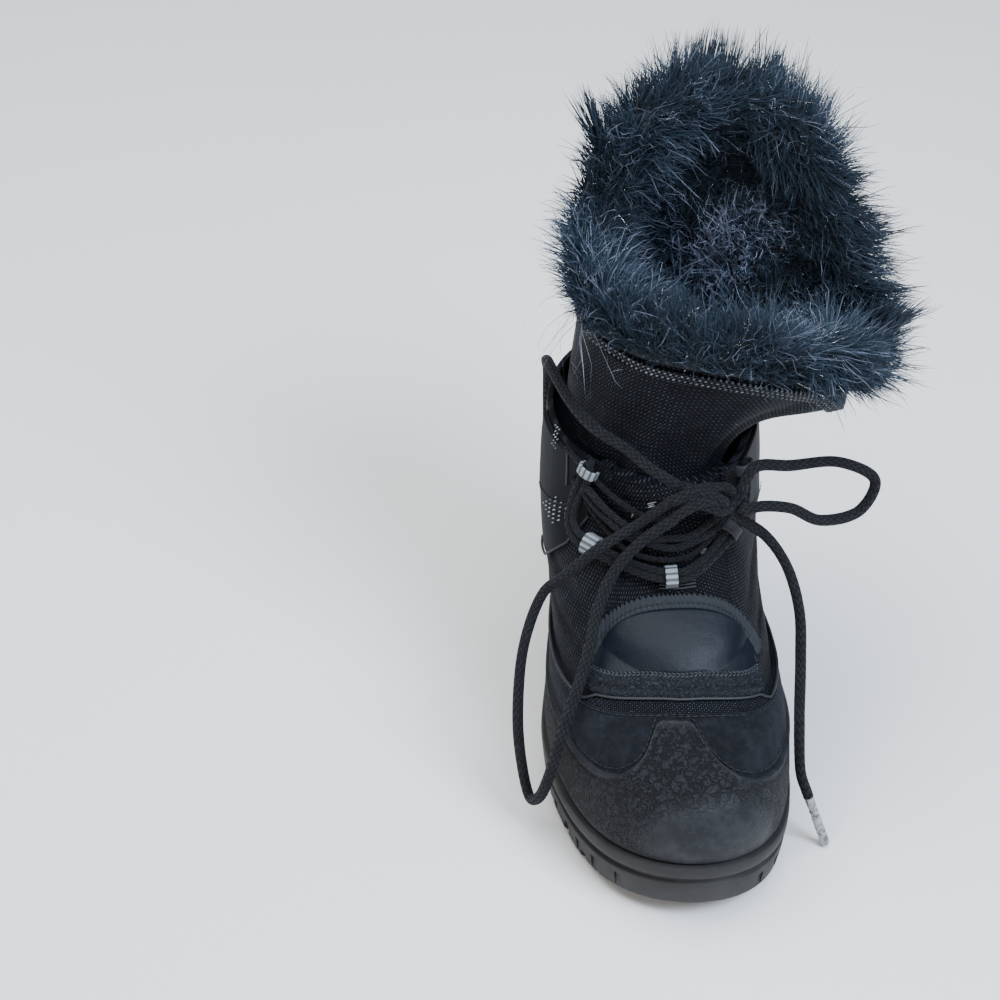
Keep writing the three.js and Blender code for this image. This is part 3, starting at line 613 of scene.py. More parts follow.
def shell_rubber(n):
    place = n.object_place()
    grain = n.add("ShaderNodeGroup", {"Place": place, "Size": 0.0029}, node_tree=wrinkle_grain).outputs
    grained = n.mark("grained")
    worn = n.mark("worn")
    dust = n.add("ShaderNodeGroup", {"Amount": 0.35, "Reach": 0.06}, node_tree=settled_dust)
    scuff = n.math("MULTIPLY", worn, n.ramp(n.noise(place, 7, 5.0, 0.72), 0.38, 0.72))
    base = n.blend(grained, colour(0.0055, 0.0068, 0.0098), colour(0.0105, 0.012, 0.0155))
    base = n.blend(scuff, base, colour(0.019, 0.0215, 0.027))
    # Painted shade: the grain's creases are painted darker.
    crease = n.math("MULTIPLY", grain["Crease"], grained)
    base = n.blend(dust.outputs["Mask"], base, DUST)
    base = n.blend(n.math("MULTIPLY", crease, 0.8), base, colour(0.0016, 0.0018, 0.0026))
    height = n.math("MULTIPLY", grain["Height"], grained)
    fine = n.noise(place, 0.7, 3.0, 0.6)
    height = n.math("MULTIPLY_ADD", fine, 0.12, height)
    return {
        "Base Color": base,
        "Roughness": n.math("MULTIPLY_ADD", grained, 0.3, 0.5),
        "Normal": bump(n, height, 0.75, 1.0),
        "Specular IOR Level": 0.22,
    }


def suede(n):
    place = n.object_place()
    nap = n.noise(place, 0.55, 4.0, 0.7)
    clouds = n.ramp(n.noise(place, 11, 5.0, 0.68), 0.42, 0.72)
    brushed = n.ramp(n.noise(place, 3.2, 4.0, 0.6), 0.4, 0.7)
    dark, worn = colour(0.0028, 0.0034, 0.005), colour(0.0105, 0.0125, 0.0175)
    base = n.blend(n.math("MULTIPLY", clouds, 0.75), dark, worn)
    base = n.blend(n.math("MULTIPLY", brushed, 0.25), base, colour(0.018, 0.02, 0.026))
    dust_clouds = n.ramp(n.noise(place, 14, 2.0, 0.5), 0.55, 0.72)
    dust_specks = n.ramp(n.noise(place, 1.4, 4.0, 0.75), 0.48, 0.66)
    dusty = n.math("MULTIPLY", dust_clouds, dust_specks)
    base = n.blend(n.math("MULTIPLY", dusty, 0.6), base, colour(0.04, 0.042, 0.048))
    return {
        "Base Color": base,
        "Roughness": 0.94,
        "Normal": bump(n, nap, 0.22, 0.8),
        "Sheen Weight": 0.09,
        "Sheen Roughness": 0.55,
        "Sheen Tint": colour(0.35, 0.4, 0.52),
        "Specular IOR Level": 0.14,
    }


def smooth_leather(n):
    place = n.object_place()
    pores = n.noise(place, 0.5, 3.0, 0.55)
    broad = n.noise(place, 7, 3.0, 0.5)
    scuff = n.ramp(n.noise(place, 5, 5.0, 0.75), 0.55, 0.8)
    height = n.math("MULTIPLY_ADD", broad, 1.6, n.math("MULTIPLY", pores, 0.5))
    dark, worn = colour(0.0022, 0.0042, 0.0095), colour(0.011, 0.0155, 0.025)
    return {
        "Base Color": n.blend(n.math("MULTIPLY", scuff, 0.4), dark, worn),
        "Roughness": n.math("MULTIPLY_ADD", scuff, 0.14, 0.44),
        "Normal": bump(n, height, 0.28, 0.7),
        "Specular IOR Level": 0.2,
    }


def stitched_leather(n):
    """Padding under grained leather, worked over with short stitches."""
    place = n.object_place()
    grain = n.add("ShaderNodeGroup", {"Place": place, "Size": 0.0017}, node_tree=wrinkle_grain).outputs
    rubbed = n.ramp(n.noise(place, 0.8, 3.0, 0.75), 0.5, 0.64)
    dark, stitch = colour(0.0028, 0.0042, 0.0075), colour(0.042, 0.05, 0.064)
    return {
        "Base Color": n.blend(n.math("MULTIPLY", rubbed, 0.5), dark, stitch),
        "Roughness": 0.68,
        "Normal": bump(n, grain["Height"], 0.3, 0.9),
        "Specular IOR Level": 0.24,
    }


# shade is the cloth's own colour; pale is the colour of the painted highlights on the thread crowns.
def woven_nylon(pitch_mm, turn, shade, pale):
    def build(n):
        turned = n.add("ShaderNodeMapping", {"Vector": n.cloth_place(), "Rotation": (0, 0, turn)})
        weave = n.add(
            "ShaderNodeGroup", {"Place": turned.outputs[0], "Pitch": pitch_mm * MM}, node_tree=basket_weave
        ).outputs
        place = n.object_place()
        patches = n.ramp(n.noise(place, 22, 4.0, 0.6), 0.3, 0.7, 0.45, 1.0)
        glint = n.math("MULTIPLY", weave["Glint"], patches)
        lint = n.ramp(n.noise(place, 1.1, 2.0, 0.5), 0.72, 0.8)
        # Painted highlight: the glint paints the thread crowns pale, stronger in some patches.
        base = n.blend(glint, colour(*shade), colour(*pale))
        base = n.blend(n.math("MULTIPLY", lint, 0.35), base, colour(0.16, 0.17, 0.19))
        return {
            "Base Color": base,
            "Roughness": n.math("MULTIPLY_ADD", weave["Height"], -0.15, 0.72),
            "Normal": bump(n, weave["Height"], 0.42, 1.0),
            "Specular IOR Level": 0.14,
        }

    return build


def braided_lace(n):
    braid = n.add("ShaderNodeGroup", {"Strands": 7.0, "Pitch": 0.0030}, node_tree=round_braid).outputs
    place = n.object_place()
    fuzz = n.noise(place, 0.45, 3.0, 0.7)
    crown_highlight_patches = n.ramp(n.noise(place, 3.5, 3.0, 0.6), 0.35, 0.7, 0.5, 1.0)
    # Painted highlight: the braid's crowns are painted paler, more in some patches than others.
    crown = n.math("MULTIPLY", n.math("MULTIPLY", braid["Crown"], crown_highlight_patches), 0.6)
    height = n.math("MULTIPLY_ADD", fuzz, 0.35, braid["Height"])
    return {
        "Base Color": n.blend(crown, colour(0.00238, 0.00272, 0.00374), colour(0.02176, 0.0238, 0.02924)),
        "Roughness": 0.84,
        "Normal": bump(n, height, 0.5, 1.0),
        "Sheen Weight": 0.06,
        "Sheen Tint": colour(0.34, 0.374, 0.442),
        "Specular IOR Level": 0.2,
    }


def striped_webbing(n):
    """Pale webbing with grey ribs that run across it."""
    place = n.add("ShaderNodeSeparateXYZ", {0: n.cloth_place()}).outputs
    rib = n.math("FRACT", n.math("DIVIDE", place[1], 2.1 * MM))
    stripe = n.ramp(n.math("ABSOLUTE", n.math("SUBTRACT", rib, 0.5)), 0.16, 0.24)
    thread = n.math("SINE", n.math("MULTIPLY", place[0], TURN / (0.5 * MM)))
    cords = n.math("SINE", n.math("MULTIPLY", place[1], TURN / (1.05 * MM)))
    height = n.math("MULTIPLY_ADD", thread, 0.25, cords)
    soil = n.ramp(n.noise(n.object_place(), 2.5, 3.0, 0.6), 0.4, 0.75)
    base = n.blend(stripe, colour(0.045, 0.052, 0.065), colour(0.23, 0.26, 0.29))
    return {
        "Base Color": n.blend(n.math("MULTIPLY", soil, 0.4), base, colour(0.12, 0.125, 0.13)),
        "Roughness": 0.62,
        "Normal": bump(n, height, 0.12, 0.8),
    }


def silver_aglet(n):
    place = n.object_place()
    rubbed = n.ramp(n.noise(place, 1.8, 4.0, 0.65), 0.42, 0.62)
    return {
        "Base Color": n.blend(rubbed, colour(0.34, 0.35, 0.36), colour(0.12, 0.12, 0.125)),
        "Metallic": 0.35,
        "Roughness": n.math("MULTIPLY_ADD", rubbed, 0.25, 0.28),
        "Normal": bump(n, n.noise(place, 0.8, 2.0, 0.5), 0.08, 0.6),
    }


def felted(n):
    fibres = n.noise(n.object_place(), 0.7, 4.0, 0.7)
    dark, pale = colour(0.012, 0.013, 0.015), colour(0.045, 0.046, 0.05)
    return {
        "Base Color": n.blend(n.ramp(fibres, 0.4, 0.7), dark, pale),
        "Roughness": 0.96,
        "Normal": bump(n, fibres, 0.3, 0.8),
    }


def fur_hide(n):
    matted = n.noise(n.object_place(), 2.6, 4.0, 0.7)
    dark, pale = colour(0.0035, 0.0055, 0.0085), colour(0.012, 0.019, 0.028)
    return {
        "Base Color": n.blend(n.ramp(matted, 0.4, 0.7), dark, pale),
        "Roughness": 0.95,
        "Normal": bump(n, matted, 1.2, 0.9),
    }


def fur_fibre(dark, pale, roughness):
    """Hairs from dark roots to paler tips. "pale" differs from hair to hair."""

    def build(n):
        tone = n.math("MULTIPLY", n.mark("pale"), n.ramp(n.mark("tip"), 0.05, 0.9, 0.35, 1.0))
        return {
            "Base Color": n.blend(tone, colour(*dark), colour(*pale)),
            "Roughness": roughness,
            "Specular IOR Level": 0.3,
            "Sheen Weight": 0.05,
            "Sheen Tint": colour(0.4, 0.5, 0.65),
        }

    return build


def plain_thread(red, green, blue, roughness=0.6):
    def build(n):
        fibres = n.noise(n.object_place(), 0.4, 2.0, 0.6)
        worn = colour(red * 0.45, green * 0.45, blue * 0.45)
        return {
            "Base Color": n.blend(n.ramp(fibres, 0.35, 0.65), worn, colour(red, green, blue)),
            "Roughness": roughness,
            "Normal": bump(n, fibres, 0.1, 0.5),
        }

    return build


SHADE = (0.0010, 0.0014, 0.0026)
finishes = {
    "sole rubber": finish("sole rubber", sole_rubber),
    "shell rubber": finish("shell rubber", shell_rubber),
    "suede": finish("suede", suede),
    "frayed suede": finish("frayed suede", plain_thread(0.016, 0.02, 0.028, 0.9)),
    "leather": finish("smooth leather", smooth_leather),
    "stitched leather": finish("stitched leather", stitched_leather),
    # Woven finishes: pitch, turn of the weave, the cloth's colour and the colour of its painted highlights;
    # the rim weave's painted highlights are the palest.
    "nylon": finish("woven nylon", woven_nylon(1.15, math.radians(27), SHADE, (0.052, 0.06, 0.08))),
    "gaiter nylon": finish(
        "gaiter nylon", woven_nylon(1.25, math.radians(38), SHADE, (0.034, 0.042, 0.062))
    ),
    "mesh ribbon": finish("mesh ribbon", woven_nylon(0.8, 0.0, SHADE, (0.05, 0.058, 0.08))),
    "rim weave": finish("rim weave", woven_nylon(1.5, math.radians(45), SHADE, (0.24, 0.26, 0.3))),
    "wing leather": finish("wing leather", lambda n: {
        "Base Color": colour(0.0022, 0.003, 0.0048), "Roughness": 0.62, "Specular IOR Level": 0.16,
        "Normal": bump(n, n.noise(n.object_place(), 1.1, 3.0, 0.6), 0.15, 0.6),
    }),
    "lace": finish("braided lace", braided_lace),
    "webbing": finish("striped webbing", striped_webbing),
    "soiled webbing": finish("soiled webbing", plain_thread(0.03, 0.034, 0.042, 0.7)),
    "aglet": finish("silver aglet", silver_aglet),
    "felt": finish("felt", felted),
    "hide": finish("fur hide", fur_hide),
    "fur": finish("dark fur", fur_fibre((0.0023, 0.0066, 0.0122), (0.042, 0.076, 0.122), 0.6)),
    "pale fur": finish("pale fur", fur_fibre((0.014, 0.021, 0.033), (0.42, 0.47, 0.64), 0.5)),
    "piping": finish("piping", plain_thread(0.016, 0.019, 0.026, 0.6)),
    "dark thread": finish("dark thread", plain_thread(0.007, 0.008, 0.012)),
    "chain thread": finish("chain thread", plain_thread(0.036, 0.042, 0.052)),
    "pale thread": finish("pale thread", plain_thread(0.3, 0.34, 0.37)),
    "glitter": finish("glitter", lambda n: {
        "Base Color": colour(0.8, 0.85, 0.9), "Metallic": 1.0,
        "Roughness": n.ramp(n.noise(n.object_place(), 3, 1.0), 0.3, 0.7, 0.12, 0.35),
    }),
}


def dress(piece, finish_name, slot, *nodes):
    """Gives a piece its finish and its place on the boot, and hides the solids that it stands for."""
    piece.data.materials.clear()
    piece.data.materials.append(finishes[finish_name])
    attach(piece, "root")
    if nodes:
        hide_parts(*nodes)
    return piece


# Camera, floor and light
def aim(yaw, pitch, roll):
    """The camera's turn: looking along +Y, then yaw to +X, pitch down and a small roll."""
    yaw, pitch, roll = (math.radians(angle) for angle in (yaw, pitch, roll))
    ahead = Vector((math.sin(yaw) * math.cos(pitch), math.cos(yaw) * math.cos(pitch), -math.sin(pitch)))
    level_side = Vector((math.cos(yaw), -math.sin(yaw), 0))
    level_up = level_side.cross(ahead)
    side = math.cos(roll) * level_side + math.sin(roll) * level_up
    up = side.cross(ahead)
    return Matrix((side, up, -ahead)).transposed().to_4x4()


camera = bpy.data.objects.new("camera", bpy.data.cameras.new("camera"))
camera.data.lens = 81.9
camera.data.sensor_width = 36
camera.data.clip_start = 0.05
camera.data.clip_end = 20
camera.matrix_world = Matrix.Translation((-0.0665, -0.6954, 0.5731)) @ aim(0.36, 33.68, 0.28)
scene.collection.objects.link(camera)
scene.camera = camera

floor_mesh = bpy.data.meshes.new("studio_floor")
floor_mesh.from_pydata([(-4, -4, 0), (4, -4, 0), (4, 4, 0), (-4, 4, 0)], [], [(0, 1, 2, 3)])
studio_floor = hold("studio_floor", floor_mesh)
studio_floor.data.materials.append(
    finish("pale floor", lambda n: {
        "Base Color": n.blend(
            n.noise(n.object_place(), 300, 2.0), colour(0.8, 0.8, 0.8), colour(0.86, 0.86, 0.86)
        ),
        "Roughness": 0.85,
        "Specular IOR Level": 0.2,
    })
)


def soft_light(name, place, target, size, power, tint):
    lamp = bpy.data.lights.new(name, "AREA")
    lamp.shape = "RECTANGLE"
    lamp.size, lamp.size_y = size
    lamp.energy = power
    lamp.color = tint
    light = bpy.data.objects.new(name, lamp)
    way = Vector(target) - Vector(place)
    light.matrix_world = Matrix.Translation(place) @ way.to_track_quat("-Z", "Y").to_matrix().to_4x4()
    scene.collection.objects.link(light)


soft_light("window", (0.75, -0.75, 1.25), (0.02, 0, 0.1), (0.7, 0.7), 38, (0.74, 0.86, 1.0))
soft_light("ceiling", (-0.25, 0.1, 1.6), (0, 0, 0.1), (1.6, 1.6), 42, (0.95, 0.975, 1.0))
soft_light("front fill", (-0.7, -1.2, 0.5), (0, -0.05, 0.08), (0.5, 0.4), 9, (1.0, 0.94, 0.88))
world = bpy.data.worlds.new("studio")
world.use_nodes = True
world.node_tree.nodes["Background"].inputs["Color"].default_value = colour(0.9, 0.94, 1.0)
world.node_tree.nodes["Background"].inputs["Strength"].default_value = 0.24
scene.world = world

# The free lace: a knot, two loops and two ends
KNOT_AT = (12, -14, 121)
LOOP_INNER = [
    (24.2, -14, 123), (29.2, -10, 130.5), (42.5, -6, 128.8), (60.9, -3, 128.3), (74.3, -3, 120.5),
    (69.4, -6, 109.4), (54.4, -12, 109), (42.2, -16, 117), (31, -18, 119), (24.6, -18, 117),
]
LOOP_OUTER = [
    (-0.5, -18, 121.5), (-12, -14.5, 109), (-27.5, -18, 99.5), (-38.5, -17, 87.5), (-46, -13, 77),
    (-52.8, -25, 64.1), (-55.3, -35, 43.8), (-54.6, -45, 28.2), (-50.8, -54, 13), (-47.6, -60, 18.5),
    (-44.2, -63, 31), (-39.2, -60, 51), (-34.2, -52, 63), (-29.8, -41, 72), (-26.8, -31, 82),
    (-21, -23, 93), (-12, -20, 104), (0.5, -20, 115),
]
END_INNER = [
    (20.2, -15.8, 114.8), (27, -14, 109.5), (35, -14, 103), (42.5, -18, 93), (47.5, -25, 78),
    (48.2, -34, 62), (46.8, -52, 48), (47.6, -61, 31), (49.6, -62.5, 25), (50.9, -63, 21.5),
]
END_OUTER = [
    (2.4, -13.4, 124.4), (-8, -10.5, 130), (-17, -2, 133.5), (-28, 8, 136), (-37, 24, 139),
    (-42.5, 45, 139), (-44, 64, 132), (-43, 80, 118), (-42.5, 86, 100), (-42.5, 87, 82),
]
KNOT_WRAPS = [
    [(-11, 1, 4.5), (-5, -3.5, 5), (2, -5.5, 3.2), (7, -3.5, -1), (5, 1.5, -4.5), (-2, 3.5, -4),
     (-7, -0.5, -3.5), (-6, -5, 0), (0, -6, -1.5), (6, -4.5, -5), (11, -1, -6)],
    [(-12, -3, -1), (-6, -5.5, 1.5), (1, -3, 5.5), (8, -0.5, 4.5), (12, -1, 1.5)],
    [(-16, -5.4, -0.6), (-11, -5.2, 2.4), (-5, -3, 4.6), (2, 0, 4), (6, 3, 0)],
    [(-14.5, -6.5, -8.5), (-11.2, -8, -4.5), (-6, -8, -0.5), (0, -7.2, 1.5), (5, -4, -0.5), (7, 0, -4)],
]


def lace_width_along(path, seed):
    """The cord's radius in millimetres, a little pinched here and there."""
    return LACE_WIDTH / 2 * (0.9 + 0.035 * lumps(path, 14, seed))


def lace_tube(name, points, seed, end=0.0):
    path = smooth_path(points, 0.8)
    return path, tube(name, path, lace_width_along(path, seed), 16, 0.93, end)


def aglet(name, path, node):
    """A crimped tip: a tube with two pinched rings and a rounded end."""
    tip, way = path[-1], unit(path[-1] - path[-6])
    along = np.linspace(-3, AGLET_LENGTH, 60)
    radius = AGLET_WIDTH / 2 * np.ones_like(along)
    radius -= 0.22 * np.exp(-(((along - 5) / 0.7) ** 2)) + 0.22 * np.exp(-(((along - 8) / 0.7) ** 2))
    radius += 0.18 * smoothstep(along, 1.0, -1.5)
    radius *= np.sqrt(np.clip(1 - (np.maximum(along - AGLET_LENGTH + 1.2, 0) / 1.25) ** 2, 0.02, 1))
    route = tip + way * (along[:, None] + GAP)
    return dress(tube(name, route, radius, 18), "aglet", "aglet", node)


free_cords = []
for name, points, seed in [
    ("lace_loop_inner", LOOP_INNER, 2), ("lace_loop_outer", LOOP_OUTER, 3),
    ("lace_end_inner", END_INNER, 4), ("lace_end_outer", END_OUTER, 5),
]:
    path, piece = lace_tube(name + "_cord", points, seed)
    dress(piece, "lace", "lace", name)
    free_cords.append((name, path, piece))
    if name in ("lace_end_inner", "lace_end_outer"):
        node = name.replace("lace_end", "aglet")
        aglet(node + "_tip", path, node)

# How far the knot is pulled together along each axis.
KNOT_TIGHTNESS = (0.86, 0.8, 0.8)
wraps = []
for i, turns in enumerate(KNOT_WRAPS):
    points = np.array(turns, float) * KNOT_TIGHTNESS + KNOT_AT
    wraps.append(lace_tube(f"knot_wrap_{i}", points, 7 + i, 1.5)[1])
knot = dress(joined("lace_knot_wraps", wraps), "lace", "lace", "lace_knot")

for name, path, piece in free_cords:
    length = float(run_length(path, 0)[-1]) * MM


# Sole, shell and leather, laid on the last
def wrap(around):
    return around - np.round(around)


def near_front(around):
    return np.abs(wrap(around))


def near_heel(around):
    return np.abs(wrap(around - 0.5))


# The shell's edge at the front: a narrow tab between two scallops.
SHELL_FRONT = [
    (-0.19, 3.0), (-0.15, 3.1), (-0.12, 3.25), (-0.098, 3.4), (-0.0755, 3.8), (-0.056, 4.5), (-0.0455, 5.1),
    (-0.0405, 5.6), (-0.036, 6.1), (-0.029, 6.36), (-0.01, 6.42), (0.007, 6.4), (0.0125, 6.15), (0.018, 5.55),
    (0.029, 4.81), (0.0465, 4.16), (0.0675, 3.76), (0.0935, 3.5), (0.13, 3.3), (0.19, 3.0),
]


def shell_edge(around):
    places, levels = np.array(SHELL_FRONT).T
    near = sum(np.interp(wrap(around) + k, places, levels) for k in (-0.004, 0, 0.004)) / 3
    heel = 1 - smoothstep(near_heel(around), 0.1, 0.2)
    return near + heel * 1.9


def mudguard_edge(around):
    front = 1 - smoothstep(near_front(around), 0.01, 0.2)
    heel = 1 - smoothstep(near_heel(around), 0.08, 0.2)
    return 5.0 + front * 1.65 + heel * 1.4


def strip_high(around):
    return 7.9 - 0.75 * smoothstep(near_front(around), 0.02, 0.125)


def arch_edge(around, half, high):
    share = (wrap(around) - 0.006) / half
    return lerp(strip_high(around) + 0.12, high, np.maximum(1 - share**2, 0) ** 0.85)


SOLE_OVERHANG = GAP + SHELL_WALL + 0.4
# The sidewall from tread to feather line: a share of its height and how far it stands out.
SOLE_SIDE = [
    (0.0, -2.2), (0.02, -1.5), (0.07, -0.7), (0.16, -0.15), (0.35, 0.4), (0.55, 0.9), (0.58, 0.8),
    (0.6, 0.3), (0.62, -0.4), (0.66, -0.7), (0.7, -0.4), (0.72, 0.4), (0.745, 1.1), (0.77, 1.4),
    (0.86, 1.55), (0.95, 1.45), (0.985, 1.1), (1.0, 0.3), (1.0, -5),
]
SOLE_COLUMNS = 160


def tread(share):
    return TOE_SPRING * np.maximum(0, 1 - share / 0.24) ** 2


def outsole_body():
    even = (np.arange(SOLE_COLUMNS) + 0.5) / SOLE_COLUMNS
    around = even - 0.4 * np.sin(TURN * even) / TURN
    share = (1 - np.cos(TURN * around)) / 2
    rings = []
    for rise, out in SOLE_SIDE:
        ring = upper_skin(0, around, SOLE_OVERHANG + out)
        ring[:, 2] = lerp(tread(share), feather(share) - GAP, rise)
        rings.append(ring)
    points = np.concatenate(rings)
    n, rows = SOLE_COLUMNS, len(rings)
    faces = []
    for j in range(rows - 1):
        for i in range(n):
            k = (i + 1) % n
            faces.append((j * n + i, j * n + k, (j + 1) * n + k, (j + 1) * n + i))
    top = (rows - 1) * n
    for i in range(n // 2 - 1):
        faces.append((i, n - 1 - i, n - 2 - i, i + 1))
        faces.append((top + i, top + i + 1, top + n - 2 - i, top + n - 1 - i))
    return points, faces


def block(width, depth, height, place, turn):
    """The corners of a box turned about Z."""
    corners = np.array([(x, y, z) for x in (-1, 1) for y in (-1, 1) for z in (-1, 1)], float) / 2
    corners *= (width, depth, height)
    spin = np.array([[math.cos(turn), -math.sin(turn), 0], [math.sin(turn), math.cos(turn), 0], [0, 0, 1]])
    return corners @ spin.T + place


BLOCK_FACES = [(0, 1, 3, 2), (4, 6, 7, 5), (0, 4, 5, 1), (2, 3, 7, 6), (0, 2, 6, 4), (1, 5, 7, 3)]
# Where the grooves start and stop as shares of the length, their count, reach and turn.
GROOVES = [(0.13, 0.47, 5, 0.55, 0.22), (0.74, 0.9, 3, 0.5, -0.12)]
# Where the side wall is notched between its lugs, as shares of the length.
SIDE_NOTCHES = [0.05, 0.1, 0.15, 0.2, 0.26, 0.32, 0.38, 0.44, 0.78, 0.84, 0.9]


def groove_blocks():
    blocks = []
    for start, stop, count, reach, turn in GROOVES:
        for i in range(count):
            for side in (-1, 1):
                share = lerp(start, stop, i / (count - 1))
                length = BALL_WIDTH * reach
                place = (side * (0.1 * BALL_WIDTH + length / 2), (share - 0.5) * UPPER_LENGTH, tread(share))
                blocks.append(block(length, 4.6, 2 * TREAD_DEPTH, place, -side * turn))
                # A fine sipe halfway to the next groove.
                halfway = share + 0.5 * (stop - start) / (count - 1)
                sipe = (side * 0.3 * BALL_WIDTH, (halfway - 0.5) * UPPER_LENGTH, tread(halfway))
                blocks.append(block(BALL_WIDTH * 0.3, 0.9, 3.2, sipe, -side * turn))
    for share in SIDE_NOTCHES:
        for side in (-1, 1):
            around = side * math.acos(1 - 2 * share) / TURN
            at = upper_skin(0, around, SOLE_OVERHANG + 1.6)
            out = upper_skin(0, around, SOLE_OVERHANG + 2.6) - at
            at[2] = tread(share) + 2
            blocks.append(block(4.4, 3.4, 13, at, math.atan2(out[1], out[0])))
    waist = block(2 * BALL_WIDTH, 0.15 * UPPER_LENGTH, 2 * TREAD_DEPTH, (0, 0.105 * UPPER_LENGTH, 0), 0)
    return blocks + [waist]


def plain_mesh(piece):
    """The piece with its modifiers applied, as a plain mesh."""
    dg = bpy.context.evaluated_depsgraph_get()
    mesh = bpy.data.meshes.new_from_object(
        piece.evaluated_get(dg), preserve_all_data_layers=True, depsgraph=dg
    )
    piece.modifiers.clear()
    piece.data = mesh
    return piece


points, faces = outsole_body()
outsole = hold("outsole_rubber", mesh_of("outsole_rubber", points, faces))
blocks = groove_blocks()
cutter = hold("grooves", mesh_of(
    "grooves", np.concatenate(blocks),
    [tuple(8 * k + v for v in face) for k in range(len(blocks)) for face in BLOCK_FACES],
))
cut = outsole.modifiers.new("grooves", "BOOLEAN")
cut.operation = "DIFFERENCE"
cut.object = cutter
cut.use_self = True
plain_mesh(outsole)
bpy.data.objects.remove(cutter)
outsole.data.set_sharp_from_angle(angle=math.radians(38))
dress(outsole, "sole rubber", "rubber", "outsole")

RING = crowded(240)


def shell_border(level, around):
    return shell_edge(around) - level


def shell_relief(level, around, points):
    border = shell_border(level, around)
    bead = 0.4 * smoothstep(border, 0.34, 0.22) - 0.3 * np.exp(-(((border - 0.4) / 0.07) ** 2))
    broad = 0.25 * lumps(points, 26, 11) * (1 - 0.6 * bumper_share(level, around))
    return bead + broad


def bumper_share(level, around):
    """1 on the smooth toe bumper, 0 on the grained rest of the shell."""
    reach = np.hypot(wrap(around - 0.02) / 0.085, (level - 0.9) / 2.9)
    low = 1 - smoothstep(level, 0.3, 0.7)
    faint = 0.35 * smoothstep(wrap(around), 0.0, 0.1)
    return np.maximum(np.maximum(1 - smoothstep(reach, 0.6, 1.05), 0.6 * low), faint)


shell = sheet(
    "toe_and_heel_shell", upper_skin, RING, -0.05, shell_edge, SHELL_WALL + GAP, 0.0, 30, 1.5,
    shell_relief,
    {
        "grained": lambda level, around, points: (1 - bumper_share(level, around))
        * smoothstep(shell_border(level, around), 0.12, 0.4),
        "worn": lambda level, around, points: np.maximum(
            bumper_share(level, around), 0.8 * smoothstep(shell_border(level, around), 0.42, 0.2)
        ),
    },
)
dress(shell, "shell rubber", "shell_rubber", "rubber_shell")


def mudguard_relief(level, around, points):
    soft = 0.35 * lumps(points, 17, 21)
    return soft - 0.15


mudguard = sheet(
    "suede_mudguard", upper_skin, RING, lambda a: shell_edge(a) - 0.35, mudguard_edge,
    SUEDE_WALL + GAP, 0.0, 20, 1.0, mudguard_relief,
)
dress(mudguard, "suede", "suede", "mudguard")

# The upper, open at the throat, and the tongue's folds that fill it.
throat_half = math.asin(THROAT_WIDTH / float(upper_point(12, 0.25)[0] - upper_point(12, -0.25)[0])) / TURN


def throat_edge(around):
    share = wrap(around) / throat_half
    inside = 10.4 + 2.2 * share**2
    return np.where(np.abs(share) < 1, np.minimum(inside, SEAM_LEVEL), SEAM_LEVEL)


# Level, width in levels, depth in millimetres and tilt.
ANKLE_CREASES = [(7.6, 0.28, 0.7, 5), (9.3, 0.35, 1.0, 7), (11.3, 0.3, 0.8, -4), (12.6, 0.25, 0.6, 3)]


def ankle_creases(level, around, points):
    """Soft troughs that run round the ankle where the foot bends."""
    side = smoothstep(near_front(around), 0.1, 0.17) * smoothstep(near_heel(around), 0.05, 0.14)
    bend = np.zeros_like(level + around)
    for middle, width, depth, tilt in ANKLE_CREASES:
        bend -= depth * np.exp(-(((level - middle - tilt * (near_front(around) - 0.2)) / width) ** 2))
    return side * bend + 0.3 * lumps(points, 19, 33) - 0.25


edge_columns = [throat_half * k for k in (0.9, 0.96, 0.985, 0.999, 1.001, 1.02, 1.06)]
columns = np.unique(np.round(np.concatenate([crowded(190), edge_columns, [-a for a in edge_columns]]), 6))
upper = sheet(
    "woven_upper", upper_skin, columns, 0.0, throat_edge, UPPER_WALL, -UPPER_WALL, 60, 1.1, ankle_creases,
    depth=0.0,
)
dress(upper, "nylon", "woven_nylon", "upper")

TONGUE_HALF = throat_half * 1.3
FOLDS = [
    (10.9, 0.16, 1.1, 3.0), (11.45, 0.14, 0.8, -2.0), (11.95, 0.2, 1.3, 4.0), (12.5, 0.15, 0.9, -3.5),
    (13.0, 0.18, 1.2, 2.0), (13.5, 0.14, 0.8, -1.0),
]


def tongue_folds(level, around, points):
    """The tongue's padding stands into the throat and falls into sideways folds."""
    middle = smoothstep(1.0 - near_front(around) / (throat_half * 0.9), 0.0, 0.25)
    above = smoothstep(level, 10.5, 11.1)
    out = 1.9 * middle * above
    for place, width, depth, tilt in FOLDS:
        out = out - middle * depth * np.exp(
            -(((level - place - tilt * wrap(around) - 6 * wrap(around) ** 2) / width) ** 2)
        )
    return out + 0.35 * middle * lumps(points, 8, 44)


tongue = sheet(
    "folded_tongue", upper_skin, np.linspace(-TONGUE_HALF, TONGUE_HALF, 91), 9.4, SEAM_LEVEL - 0.1,
    TONGUE_WALL, -(UPPER_WALL + GAP + TONGUE_WALL), 90, 1.4, tongue_folds, depth=0.0,
)
dress(tongue, "nylon", "woven_nylon", "tongue")

STRIP_HALF = 0.12


def strip_low(around):
    return mudguard_edge(around) + 0.42


def strip_relief(level, around, points):
    """Two padded rolls with a sewn channel between them."""
    share = (level - strip_low(around)) / np.maximum(strip_high(around) - strip_low(around), 0.1)
    channel = np.exp(-(((share - 0.36) / 0.07) ** 2))
    return 0.45 - 0.9 * channel + 0.14 * lumps(points, 3.4, 51)


